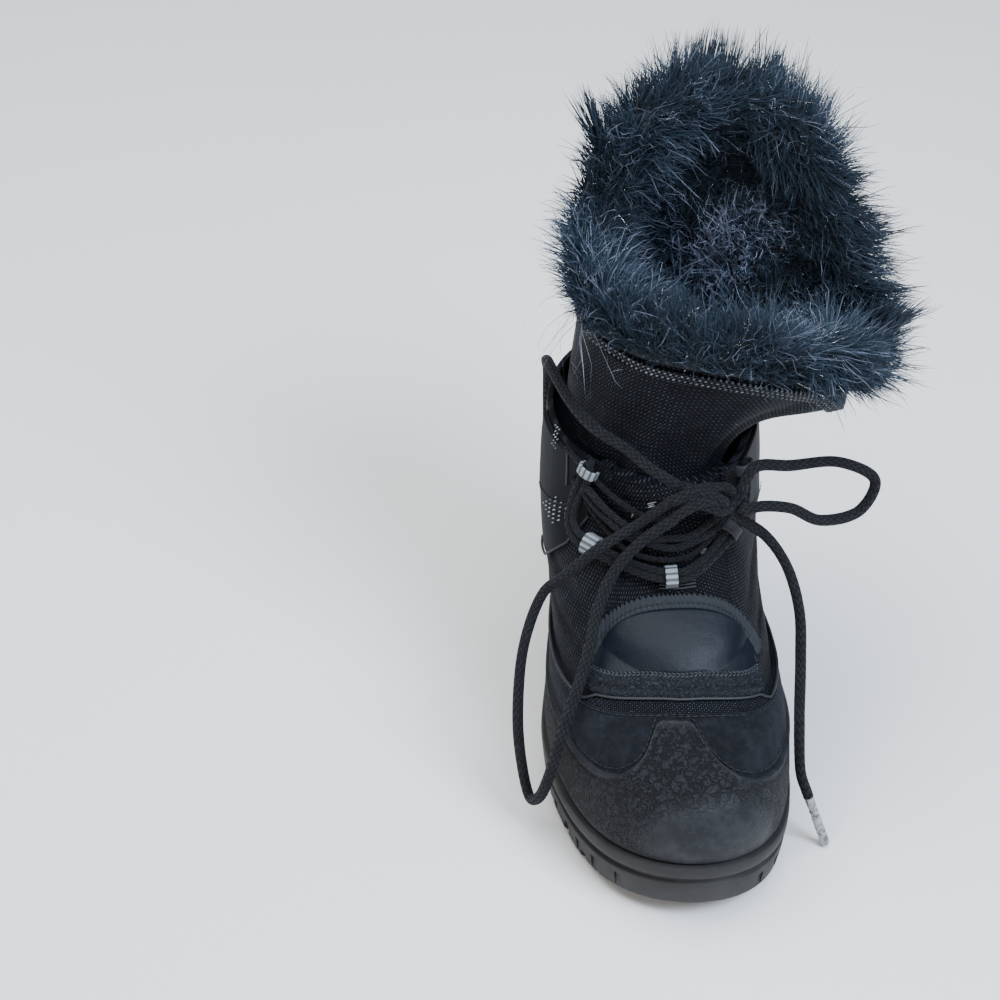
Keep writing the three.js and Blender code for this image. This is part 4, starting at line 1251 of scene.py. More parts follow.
strip = sheet(
    "padded_strip_rolls", upper_skin, np.linspace(-STRIP_HALF, STRIP_HALF, 121), strip_low, strip_high,
    2.0 + GAP, 0.0, 26, 1.5, strip_relief,
)
dress(strip, "stitched leather", "smooth_leather", "padded_strip")


def saddle_edge(around):
    return arch_edge(around, 0.118, 9.8)


def saddle_relief(level, around, points):
    reach = np.hypot((wrap(around) - 0.006) / 0.122, (level - 8.6) / np.where(level < 8.6, 0.95, 1.4))
    return 3.2 * np.clip(1 - reach**2, 0, 1) + 0.3 * lumps(points, 19, 61) - 0.3


saddle = sheet(
    "smooth_saddle", upper_skin, np.linspace(-0.1195, 0.1195, 131),
    lambda a: strip_high(a) - 0.12, saddle_edge, 1.5 + GAP, 0.0, 34, 1.2, saddle_relief,
)
dress(saddle, "leather", "smooth_leather", "saddle")


def pucker(around):
    """The uneven nips of a pinked edge."""
    return np.cos(TURN * around * 155 + 2.5 * np.sin(TURN * around * 13))


def band_low(around):
    return np.maximum(saddle_edge(around), strip_high(around)) - 0.1 + 0.03 * pucker(around)


def band_high(around):
    return arch_edge(around, 0.134, 10.2) + 0.04 * pucker(around)


def band_relief(level, around, points):
    """Two sewn channels with a pinked edge between and above them."""
    share = (level - band_low(around)) / np.maximum(band_high(around) - band_low(around), 0.05)
    puckers = 0.13 * pucker(around) * np.ones_like(share)
    return puckers - 0.3 * np.exp(-(((share - 0.5) / 0.16) ** 2))


band = sheet(
    "pinked_band_strip", upper_skin, np.linspace(-0.128, 0.14, 401), band_low, band_high,
    1.5 + GAP, 0.0, 9, 0.8, band_relief,
)
dress(band, "frayed suede", "suede", "pinked_band")

WING_FROM, WING_TO = 0.128, 0.235


def wing_low(around):
    share = np.clip((np.abs(around) - WING_FROM) / (WING_TO - WING_FROM), 0, 1)
    return lerp(12.2, 10.4, np.sqrt(share))


def wing_relief(level, around, points):
    return 0.25 * lumps(points, 15, 71)


for side, name in ((-1, "wing_outer"), (1, "wing_inner")):
    places = side * np.linspace(WING_FROM, WING_TO, 61)
    wing = sheet(
        name + "_leaf", upper_skin, np.sort(places), wing_low, SEAM_LEVEL - 0.15, SUEDE_WALL,
        GAP * 0.3, 44, 1.0, wing_relief,
    )
    dress(wing, "wing leather", "smooth_leather", name)

# The woven gaiter
GAITER_FOLDS = [
    # around, level at the middle, width round, height in levels, depth in millimetres
    (-0.09, 0.3, 0.018, 0.35, -2.2), (0.02, 0.22, 0.022, 0.3, -1.8), (0.1, 0.3, 0.02, 0.4, -2.4),
    (-0.035, 0.42, 0.03, 0.5, 1.2), (0.06, 0.5, 0.03, 0.45, 1.3), (0.17, 0.4, 0.02, 0.5, -2.0),
    (-0.16, 0.4, 0.025, 0.5, -2.0), (0.3, 0.4, 0.03, 0.5, -2.4), (-0.3, 0.45, 0.03, 0.5, -2.2),
    (0.42, 0.35, 0.03, 0.5, -1.8), (-0.42, 0.4, 0.03, 0.5, -2.0), (0.24, 0.6, 0.03, 0.3, 1.4),
    (0.18, 0.8, 0.065, 0.45, 8.0),
]


def gaiter_folds(level, around, points):
    out = 0.5 * lumps(points, 24, 81) - 0.3 + 0 * level
    for place, middle, wide, tall, depth in GAITER_FOLDS:
        off = wrap(around - place - 0.06 * (level - middle))
        out = out + depth * np.exp(-((off / wide) ** 2) - ((level - middle) / tall) ** 2)
    gathers = 0.5 * np.sin(TURN * 17 * around + 3 * np.sin(TURN * 2 * around))
    return out + gathers * smoothstep(level, 0.35, 0.0)


gaiter = sheet(
    "woven_gaiter", gaiter_skin, crowded(220, crowding=0.15), 0.0, 1.0, GAITER_WALL, -GAITER_WALL, 60, 1.1,
    gaiter_folds, depth=0.0,
)
dress(gaiter, "gaiter nylon", "woven_nylon", "gaiter")

# Insole
def insole_grid():
    around = (np.arange(SOLE_COLUMNS) + 0.5) / SOLE_COLUMNS
    share = (1 - np.cos(TURN * around)) / 2
    rings = []
    for inward, lift in [(9, 0.3), (0.6, 0.3), (0, 0.9), (0, 3.2), (0.5, 3.8), (1.4, 4.0), (9, 3.6)]:
        ring = upper_skin(0, around, -(UPPER_WALL + 1.2 + inward))
        ring[:, 2] = feather(share) + lift
        rings.append(ring)
    n, rows = SOLE_COLUMNS, len(rings)
    faces = [
        (j * n + i, j * n + (i + 1) % n, (j + 1) * n + (i + 1) % n, (j + 1) * n + i)
        for j in range(rows - 1) for i in range(n)
    ]
    top = (rows - 1) * n
    for i in range(n // 2 - 1):
        faces.append((i, n - 1 - i, n - 2 - i, i + 1))
        faces.append((top + i, top + i + 1, top + n - 2 - i, top + n - 1 - i))
    return np.concatenate(rings), faces


dress(hold("felt_insole", mesh_of("felt_insole", *insole_grid())), "felt", "felt", "insole")

# The lace across the throat, two strands side by side, and its webbing loops
LACE_HEIGHT = LACE_WIDTH / 2 + 2
LACING = [
    [(-0.106, 14.3), (-0.116, 13.3), (-0.128, 12.2), (-0.132, 11.4), (-0.12, 11.0), (-0.065, 10.9),
     (-0.02, 10.75), (0.0, 10.72), (0.02, 10.75), (0.065, 11.4), (0.105, 12.15), (0.116, 12.7),
     (0.112, 14.2)],
    [(-0.1185, 13.0), (-0.085, 12.35), (-0.04, 11.9), (0.015, 11.85), (0.065, 12.35), (0.1, 12.95),
     (0.1145, 13.2)],
]


def strand_pair(places, seed):
    """Two soft strands that run together and part a little here and there."""
    around, level = np.array(places).T
    middle = smooth_path(upper_skin(level, around, LACE_HEIGHT), 0.8)
    lifted = smooth_path(upper_skin(level, around, LACE_HEIGHT + 1), 0.8)
    stops = np.linspace(0, 1, len(middle))
    out = unit(np.stack(
        [np.interp(stops, np.linspace(0, 1, len(lifted)), lifted[:, k]) for k in range(3)], 1
    ) - middle)
    across = unit(np.cross(unit(np.gradient(middle, axis=0)), out))
    near_ends = np.minimum(smoothstep(stops, 0, 0.06), smoothstep(stops, 1, 0.94))
    pieces = []
    for way in (-1, 1):
        sway = (1.35 + 0.3 * lumps(middle, 11, seed))[:, None] * near_ends[:, None]
        rise = (0.5 * lumps(middle, 13, seed + way + 5))[:, None]
        path = middle + way * sway * across + way * rise * out
        width = 1.45 + 0.08 * lumps(path, 9, seed + 3)
        pieces.append(tube(f"strand_{seed}_{way}", path, width, 12, 1.0, 1.2))
    return pieces


LOOSE_STRANDS = [
    [(-0.155, 14.0), (-0.12, 13.6), (-0.07, 12.9), (-0.02, 12.6), (0.02, 12.9)],
    [(-0.14, 12.9), (-0.1, 12.0), (-0.05, 11.3), (0.02, 11.3), (0.07, 12.0), (0.1, 12.9)],
]
crossing = strand_pair(LACING[0], 21) + strand_pair(LACING[1], 31)
for i, places in enumerate(LOOSE_STRANDS):
    around, level = np.array(places).T
    path = smooth_path(upper_skin(level, around, 2.2), 0.8)
    crossing.append(tube(f"loose_strand_{i}", path, 1.1, 10, 1.0, 1.0))
dress(joined("lace_crossing_strands", crossing), "lace", "lace", "lace_crossings")

WEBBING_LOOPS = [
    # name, around and level, towards, lift of its feet, width, finish
    ("loop_outer_low", (-0.105, 10.98), (-0.065, 10.9), 1.0, 5.8, "webbing"),
    ("loop_outer_high", (-0.1125, 13.7), (-0.106, 14.3), 2.2, 3.6, "webbing"),
    ("loop_inner_low", (0.085, 11.78), (0.105, 12.15), 1.5, 4.5, "soiled webbing"),
    ("loop_inner_high", (0.114, 13.85), (0.112, 14.2), 2.2, 4.5, "soiled webbing"),
    ("loop_middle", (0.0, 10.72), (0.02, 10.73), 1.0, 4.5, "webbing"),
]


def webbing_arch(name, at, towards, lift, width):
    """A ribbon that stands astride the lace, with soft edges and feet that splay a little."""
    middle, outer_skin = (upper_skin(at[1], at[0], LACE_HEIGHT + k) for k in (0, 1))
    out = unit(outer_skin - middle)
    along = upper_skin(towards[1], towards[0], LACE_HEIGHT) - middle
    along = unit(along - out * along.dot(out))
    across = np.cross(out, along)
    radius = LACE_WIDTH / 2 + 2 * GAP + 0.6
    turn = np.linspace(0, math.pi, 13)
    feet = lift - LACE_HEIGHT
    profile = [(radius, feet), (radius, feet * 0.5)]
    profile += [(radius * math.cos(a), 0.62 * radius * math.sin(a)) for a in turn]
    profile += [(-radius, feet * 0.5), (-radius, feet)]
    profile = np.array(profile)
    way = unit(np.gradient(profile, axis=0))
    normal = np.stack([way[:, 1], -way[:, 0]], 1)
    length = run_length(profile, 0)
    section = [
        (-0.5, -0.2), (-0.5, 0.2), (-0.47, 0.42), (-0.42, 0.5), (-0.2, 0.44), (0.0, 0.42), (0.2, 0.44),
        (0.42, 0.5), (0.47, 0.42), (0.5, 0.2), (0.5, -0.2), (0.47, -0.42), (0.42, -0.5), (-0.42, -0.5),
        (-0.47, -0.42),
    ]
    grid, uv = [], []
    for (x, z), (nx, nz), run in zip(profile, normal, length):
        row = [
            middle + across * (x + nx * 1.1 * t) + out * (z + nz * 1.1 * t) + along * width * w
            for w, t in section
        ]
        grid.append(row)
        uv.append([(width * w, run) for w, _ in section + section[:1]])
    return grid_piece(name + "_ribbon", np.array(grid), np.array(uv), False, True, caps=True)


for name, *places, finish_name in WEBBING_LOOPS:
    dress(webbing_arch(name, *places), finish_name, "webbing", name)


# Edges, ribbons and piping
def on_skin(skin, level, around, lift):
    """A path laid on a skin, and the way out of the skin at each of its points."""
    level, around = np.broadcast_arrays(np.asarray(level, float), np.asarray(around, float))
    path = skin(level, around, lift)
    return path, unit(skin(level, around, lift + 1) - path)


def piping(name, skin, level, around, lift, radius, ring=False):
    """A fine cord sewn along a skin. A ring's last point is its first."""
    path, out = on_skin(skin, level, around, lift)
    if ring:
        path, out = path[:-1], out[:-1]
        tangent = unit(np.roll(path, -1, 0) - np.roll(path, 1, 0))
    else:
        tangent = unit(np.gradient(path, axis=0))
    across = unit(np.cross(tangent, out))
    turn = np.linspace(0, TURN, 9)[:-1]
    grid = (
        path[:, None] + radius * np.cos(turn)[None, :, None] * across[:, None]
        + radius * np.sin(turn)[None, :, None] * out[:, None]
    )
    uv = np.zeros((len(path) + 1, 9, 2))
    return grid_piece(name, grid, uv, ring, True, caps=not ring)


def seam_line(around):
    """Where the mudguard's top is piped: along the strip's foot at the front."""
    front = 1 - smoothstep(near_front(around), 0.105, 0.135)
    return mudguard_edge(around) + 0.06 + 0.36 * front


full = crowded(420)
cords = [piping("mudguard_cord", upper_skin, seam_line(full), full, 1.4, 0.55, True)]
OUTER_PANEL = [(-0.113, 11.9), (-0.147, 10.4), (-0.201, 8.74), (-0.245, 8.1)]


def panel_low(around):
    places, levels = np.array(OUTER_PANEL[::-1]).T
    return np.interp(around, places, levels)


edge = np.linspace(-0.114, -0.245, 70)
cords.append(piping("panel_cord", upper_skin, panel_low(edge), edge, 1.3, 0.5))
wing_levels = np.linspace(12.4, 13.95, 30)
wing_places = np.linspace(-0.1485, -0.1515, 30)
cords.append(piping("wing_edge_cord", upper_skin, wing_levels, wing_places, 1.7, 0.45))
bar = np.linspace(-0.016, 0.034, 24)
for k, level in enumerate((10.36, 10.46, 10.56)):
    cords.append(piping(f"tab_bar_{k}", upper_skin, level, bar, 0.9, 0.42))
dress(joined("piping_cords", cords), "piping", "lace")

ribbon = sheet(
    "mesh_ribbon_strip", upper_skin, np.linspace(-0.128, 0.128, 121), lambda a: mudguard_edge(a) - 0.05,
    lambda a: mudguard_edge(a) + 0.4 - 0.12 * smoothstep(near_front(a), 0.1, 0.128), 0.8, 0.0, 8, 0.4,
)
dress(ribbon, "mesh ribbon", "woven_nylon")

panel = sheet(
    "outer_panel", upper_skin, np.linspace(-0.245, -0.116, 61), panel_low,
    lambda a: wing_low(a) + 0.25, 0.8, 0.0, 24, 0.6,
    lambda level, around, points: 0.15 * lumps(points, 12, 73),
)
dress(panel, "wing leather", "smooth_leather")


rim_weave = sheet(
    "rim_weave_band", gaiter_skin, crowded(260, crowding=0.15), 0.875, 0.985, 1.1, 0.75, 10, 0.7,
    lambda level, around, points: gaiter_folds(level, around, points) * 0.9,
)
dress(rim_weave, "rim weave", "woven_nylon")


# Stitches, laid by Geometry Nodes
def thread_shape():
    """One stitch along X, a millimetre long, that dips into the skin at its ends."""
    x = np.linspace(-0.5, 0.5, 6)
    path = np.stack([x, 0 * x, 0.16 - 0.9 * x**2], 1)
    return tube("thread_shape", path, 0.5 * np.array([0.35, 0.85, 1, 1, 0.85, 0.35]), 6)


def stitch_tree():
    """Sets a thread shape on every point, along its way and standing off the skin."""
    tree = bpy.data.node_groups.new("lay_stitches", "GeometryNodeTree")
    face = tree.interface
    face.new_socket("Points", in_out="INPUT", socket_type="NodeSocketGeometry")
    for label, kind in [
        ("Shape", "NodeSocketObject"), ("Finish", "NodeSocketMaterial"), ("Length", FLOAT), ("Width", FLOAT),
        ("Uneven", FLOAT), ("Seed", "NodeSocketInt"),
    ]:
        face.new_socket(label, in_out="INPUT", socket_type=kind)
    face.new_socket("Stitches", in_out="OUTPUT", socket_type="NodeSocketGeometry")
    n = Nodes(tree)
    given = n.add("NodeGroupInput").outputs

    def vector(label):
        return n.add("GeometryNodeInputNamedAttribute", {"Name": label}, data_type="FLOAT_VECTOR").outputs[0]

    upright = n.add("FunctionNodeAlignRotationToVector", {"Vector": vector("out")}, axis="Z").outputs[0]
    turned = n.add(
        "FunctionNodeAlignRotationToVector", {"Rotation": upright, "Vector": vector("way")},
        axis="X", pivot_axis="Z",
    ).outputs[0]
    luck = n.add(
        "FunctionNodeRandomValue", {2: -1.0, 3: 1.0, "Seed": given["Seed"]}, data_type="FLOAT"
    ).outputs[1]
    vary = n.math("MULTIPLY_ADD", luck, given["Uneven"], 1.0)
    width = n.math("MULTIPLY", given["Width"], vary)
    length = n.math("MULTIPLY", given["Length"], vary)
    size = n.add("ShaderNodeCombineXYZ", {0: length, 1: width, 2: width}).outputs[0]
    shape = n.add("GeometryNodeObjectInfo", {"Object": given["Shape"]}).outputs["Geometry"]
    laid = n.add(
        "GeometryNodeInstanceOnPoints",
        {"Points": given["Points"], "Instance": shape, "Rotation": turned, "Scale": size},
    ).outputs[0]
    laid = n.add("GeometryNodeRealizeInstances", {0: laid}).outputs[0]
    laid = n.add("GeometryNodeSetMaterial", {"Geometry": laid, "Material": given["Finish"]}).outputs[0]
    n.add("NodeGroupOutput", {"Stitches": laid})
    return tree


lay_stitches = stitch_tree()
thread = thread_shape()


def spaced(path, out, pitch, slant=0.0):
    """Even places along a path, with the stitch's way turned by slant."""
    length = run_length(path, 0)
    even = np.arange(pitch / 2, length[-1], pitch)
    at, outs = (np.stack([np.interp(even, length, v[:, k]) for k in range(3)], 1) for v in (path, out))
    way = unit(np.gradient(at, axis=0)) if len(at) > 1 else unit(path[-1:] - path[:1])
    across = np.cross(outs, way)
    return at, outs, way * math.cos(slant) + across * math.sin(slant)


def stitches(name, runs, finish_name, length, width, seed, uneven=0.12):
    """Runs the stitch tree over places, outward ways and stitch ways."""
    at, outs, ways = (np.concatenate([run[k] for run in runs]) for k in range(3))
    mesh = mesh_of(name, at, [])
    piece = hold(name, mesh)
    for label, values in (("out", outs), ("way", ways)):
        layer = mesh.attributes.new(label, "FLOAT_VECTOR", "POINT")
        layer.data.foreach_set("vector", values.astype(np.float32).ravel())
    modifier = piece.modifiers.new("stitches", "NODES")
    modifier.node_group = lay_stitches
    given = dict(
        Shape=thread, Finish=finishes[finish_name], Length=length, Width=width, Uneven=uneven, Seed=seed
    )
    for item in lay_stitches.interface.items_tree:
        if item.in_out == "INPUT" and item.name in given:
            modifier[item.identifier] = given[item.name]
    plain_mesh(piece)
    piece.data.polygons.foreach_set("use_smooth", [True] * len(piece.data.polygons))
    return dress(piece, finish_name, "webbing")


def seam(skin, level, around, lift, pitch, slant=0.0):
    return spaced(*on_skin(skin, level, around, lift), pitch, slant)


strip_line = np.linspace(-0.116, 0.116, 200)
strip_share = [lerp(strip_low(strip_line), strip_high(strip_line), k) for k in (0.3, 0.42)]
arch_line = np.linspace(-0.112, 0.112, 240)
dark_runs = [
    seam(upper_skin, mudguard_edge(full) - 0.14, full, SUEDE_WALL + GAP - 0.1, 2.6),
    seam(upper_skin, shell_edge(full) + 0.16, full, SUEDE_WALL + GAP + 0.05, 2.6),
    seam(upper_skin, strip_share[0], strip_line, 1.95, 2.2),
    seam(upper_skin, strip_share[1], strip_line, 1.75, 2.2),
    seam(upper_skin, saddle_edge(arch_line) + 0.12, arch_line, 1.75, 2.0),
]
for side in (-1, 1):
    line = side * np.linspace(0.133, 0.232, 90)
    dark_runs.append(seam(upper_skin, wing_low(line) + 0.3, line, SUEDE_WALL + 0.25, 2.4))
stitches("seam_stitches", dark_runs, "dark thread", 1.9, 0.42, 3)
chain = np.linspace(-0.115, 0.115, 220)
chain_runs = [
    seam(upper_skin, strip_high(chain) - 0.2, chain, 2.7, 1.6, 0.55),
    seam(upper_skin, strip_high(chain) - 0.11, chain, 2.6, 1.6, -0.55),
]
stitches("chain_stitches", chain_runs, "chain thread", 1.5, 0.5, 4)
weave_line = np.linspace(-0.5, 0.5, 700)
gaiter_runs = [seam(gaiter_skin, 0.9, weave_line, 0.25, 3.0)]
stitches("gaiter_stitches", gaiter_runs, "dark thread", 2.1, 0.4, 6)


def badge_places(middle, across, up, size, lean, slant=0.75):
    """A plain lozenge of short slanting stitches, all laid the same way."""
    runs = []
    for i in range(-size, size + 1):
        for j in range(-size, size + 1):
            if abs(i) + abs(j) > size:
                continue
            a = middle[0] + (i - j) * across + (i + j) * lean
            v = middle[1] + (i + j) * up
            path, out = on_skin(upper_skin, np.full(2, v), np.array([a - 0.0008, a + 0.0008]), 1.25)
            way = unit(path[1:] - path[:1])
            turned = way * math.cos(slant) + np.cross(out[:1], way) * math.sin(slant)
            runs.append((path.mean(0, keepdims=True), out[:1], turned))
    return runs


# Around and level of each badge's middle, its steps across and up, its size in steps and its lean.
BADGES = [((-0.171, 11.05), 0.0052, 0.17, 3, 0.006), ((-0.178, 13.9), 0.0024, 0.25, 2, 0.001)]
badges = [run for badge in BADGES for run in badge_places(*badge)]
stitches("badge_stitches", badges, "pale thread", 1.35, 0.62, 8, 0.18)
# Loose pale tacks on the nylon: around, level and slant.
TACKS = [(-0.025, 13.05, 0.4), (0.107, 11.99, -0.5), (0.0495, 11.41, 0.3), (-0.05, 12.6, 1.2)]
bits = []
for around, level, slant in TACKS:
    path, out = on_skin(upper_skin, np.full(2, level), np.array([around - 0.002, around + 0.002]), 0.8)
    way = unit(path[1:] - path[:1])
    for step in (-0.7, 0.0, 0.7):
        across = np.cross(out[:1], way)
        bits.append((path[:1] + step * across, out[:1], way * math.cos(slant) + across * math.sin(slant)))
stitches("loose_tacks", bits, "pale thread", 2.6, 0.5, 9, 0.2)
bpy.data.objects.remove(thread)

# The fur: a hide over the rim, and hairs that Geometry Nodes grow on it
ROLL = [
    (0.02, -0.1), (0.1, 0.02), (0.17, 0.26), (0.06, 0.48), (-0.16, 0.58), (-0.4, 0.54), (-0.56, 0.32),
    (-0.6, 0.0),
]


def rim_frame(around):
    at = gaiter_skin(1.0, around, 0)
    out = gaiter_skin(1.0, around, 1) - at
    climb = unit(gaiter_skin(1.02, around, 0) - gaiter_skin(0.98, around, 0))
    up = unit(climb + np.array([0, 0, 0.8]))
    return at, out, up, np.cross(out, up)


def closed_curve(points, count):
    """Even steps of a smooth closed curve through columns of points."""
    n = points.shape[1]
    at = np.linspace(0, n, count, endpoint=False)
    i = at.astype(int)
    t = (at - i)[None, :, None]
    a, b, c, d = (points[:, (i + k) % n] for k in (-1, 0, 1, 2))
    return b + t * (c - a + t * (2 * a - 5 * b + 4 * c - d + t * (3 * (b - c) + d - a))) / 2


def fur_hide_grid(around):
    at, out, up, _ = rim_frame(around)
    tuck = (1 - smoothstep(near_front(around - 0.06), 0.12, 0.3))[:, None]
    roll = [
        at + (p - 0.3 * tuck * max(p + 0.2, 0)) * FUR_THICKNESS * out + (q + 0.1 * tuck) * FUR_PILE * up
        for p, q in ROLL
    ]
    inside = -(GAITER_WALL + GAP)
    wall = [gaiter_skin(level, around, inside) for level in (0.12, 0.4, 0.65, 0.85, 1.0)]
    lining = [gaiter_skin(level, around, inside - 2.5) for level in (0.8, 0.55, 0.3, 0.12)]
    return closed_curve(np.stack(wall + roll + lining, 1), 68)


FUR_COLUMNS = 150
fur_around = np.linspace(0, 1, FUR_COLUMNS, endpoint=False)
hide_grid = fur_hide_grid(fur_around)
hide_uv = np.zeros((FUR_COLUMNS + 1, 69, 2))
hide = grid_piece("fur_hide", hide_grid, hide_uv, True, True)


def hair_ways():
    """At each point of the hide: which way the pile is combed, how long it is and how thick."""
    at, out, up, side = (v[:, None, :] for v in rim_frame(fur_around))
    right = unit(np.roll(hide_grid, -1, 0) - np.roll(hide_grid, 1, 0))
    climb = unit(np.roll(hide_grid, -1, 1) - np.roll(hide_grid, 1, 1))
    normal = unit(np.cross(right, climb))
    from_rim = hide_grid - at
    height = np.sum(from_rim * up, -1)
    reach_out = np.sum(from_rim * out, -1)
    outer = smoothstep(reach_out, -6, 2)
    lining = smoothstep(height, 4, -6) * smoothstep(reach_out, 0.5, -1.5)
    row = np.arange(68)[None, :] + 0 * height
    against_wall = (row < 22) | (row > 62)
    front = 1 - smoothstep(near_front(fur_around - 0.06), 0.14, 0.3)[:, None]
    foot = outer * (1 - smoothstep(height, -1, 7))
    comb = normal * (0.9 - 0.45 * outer * front)[..., None] + up * (0.35 + 1.0 * outer)[..., None]
    comb = comb + side * 0.15
    comb = comb + (0.3 * outer * (1 - front))[..., None] * out
    comb = comb + side * 0.55 * lumps(hide_grid, 30, 91)[..., None]
    comb = comb + up * 0.35 * lumps(hide_grid, 22, 92)[..., None]
    comb = comb + lining[..., None] * up * 0.5
    length = 1.0 - 0.25 * lining + 0.28 * lumps(hide_grid, 16, 93) - 0.45 * foot
    inner = 1 - smoothstep(np.abs(wrap(fur_around - 0.24)), 0.08, 0.2)[:, None]
    length = np.clip(length, 0.4, 1.25) * (1 - 0.3 * inner * outer)
    return unit(comb), length, np.where(against_wall, 0.0, 1.0)


comb, reach, thick = hair_ways()
# Where the long pale hairs stand in tufts, and how far each of them spreads. Their paleness is partly the
# hair's own colour and partly painted light: painted highlights on the roll's crest, and paler hair in the
# hollow inside the opening that offsets the shade there.
TUFTS = [
    # place in millimetres, spread, strength
    (23.6, 76, 168, 14, 1.6), (32, 77, 186, 10, 1.3), (18, 78, 152, 10, 1.4), (56, 50, 152, 11, 1.3),
    (34, 0, 176, 8, 0.4), (48, 5, 172, 8, 0.6), (56, 14, 168, 8, 0.4), (-26, 38, 186, 10, 0.35),
    (-32, 49, 193, 10, 0.5), (-26, 29, 182, 10, 0.5), (-16, 14, 180, 8, 0.35), (-14, 84, 146, 9, 0.9),
    (-11, 68, 222, 9, 0.4), (50, 85, 215, 8, 0.5), (26, -6, 168, 7, 0.4), (8, -2, 172, 7, 0.35),
]
tuft = sum(t[4] * np.exp(-np.sum((hide_grid - t[:3]) ** 2, -1) / t[3] ** 2) for t in TUFTS)
for label, values in (("reach", reach), ("thick", thick), ("tuft", np.clip(tuft, 0, 1))):
    paint(hide, label, values)
combed = hide.data.attributes.new("comb", "FLOAT_VECTOR", "POINT")
combed.data.foreach_set("vector", comb.astype(np.float32).ravel())


def strand_mesh(name, sides, stops):
    """One hair along Z from 0 to 1, tapered, with "tip" running from root to point."""
    points, faces, tips = [], [], []
    for height, radius in stops[:-1]:
        for k in range(sides):
            turn = TURN * k / sides
            points.append((radius * math.cos(turn), radius * math.sin(turn), height))
            tips.append(height)
    points.append((0, 0, stops[-1][0]))
    tips.append(1.0)
    for row in range(len(stops) - 2):
        for k in range(sides):
            a, b = row * sides + k, row * sides + (k + 1) % sides
            faces.append((a, b, b + sides, a + sides))
    last = (len(stops) - 2) * sides
    faces += [(last + k, last + (k + 1) % sides, last + sides) for k in range(sides)]
    mesh = mesh_of(name, np.array(points) / MM, faces)
    strand = hold(name, mesh)
    paint(strand, "tip", tips)
    return strand


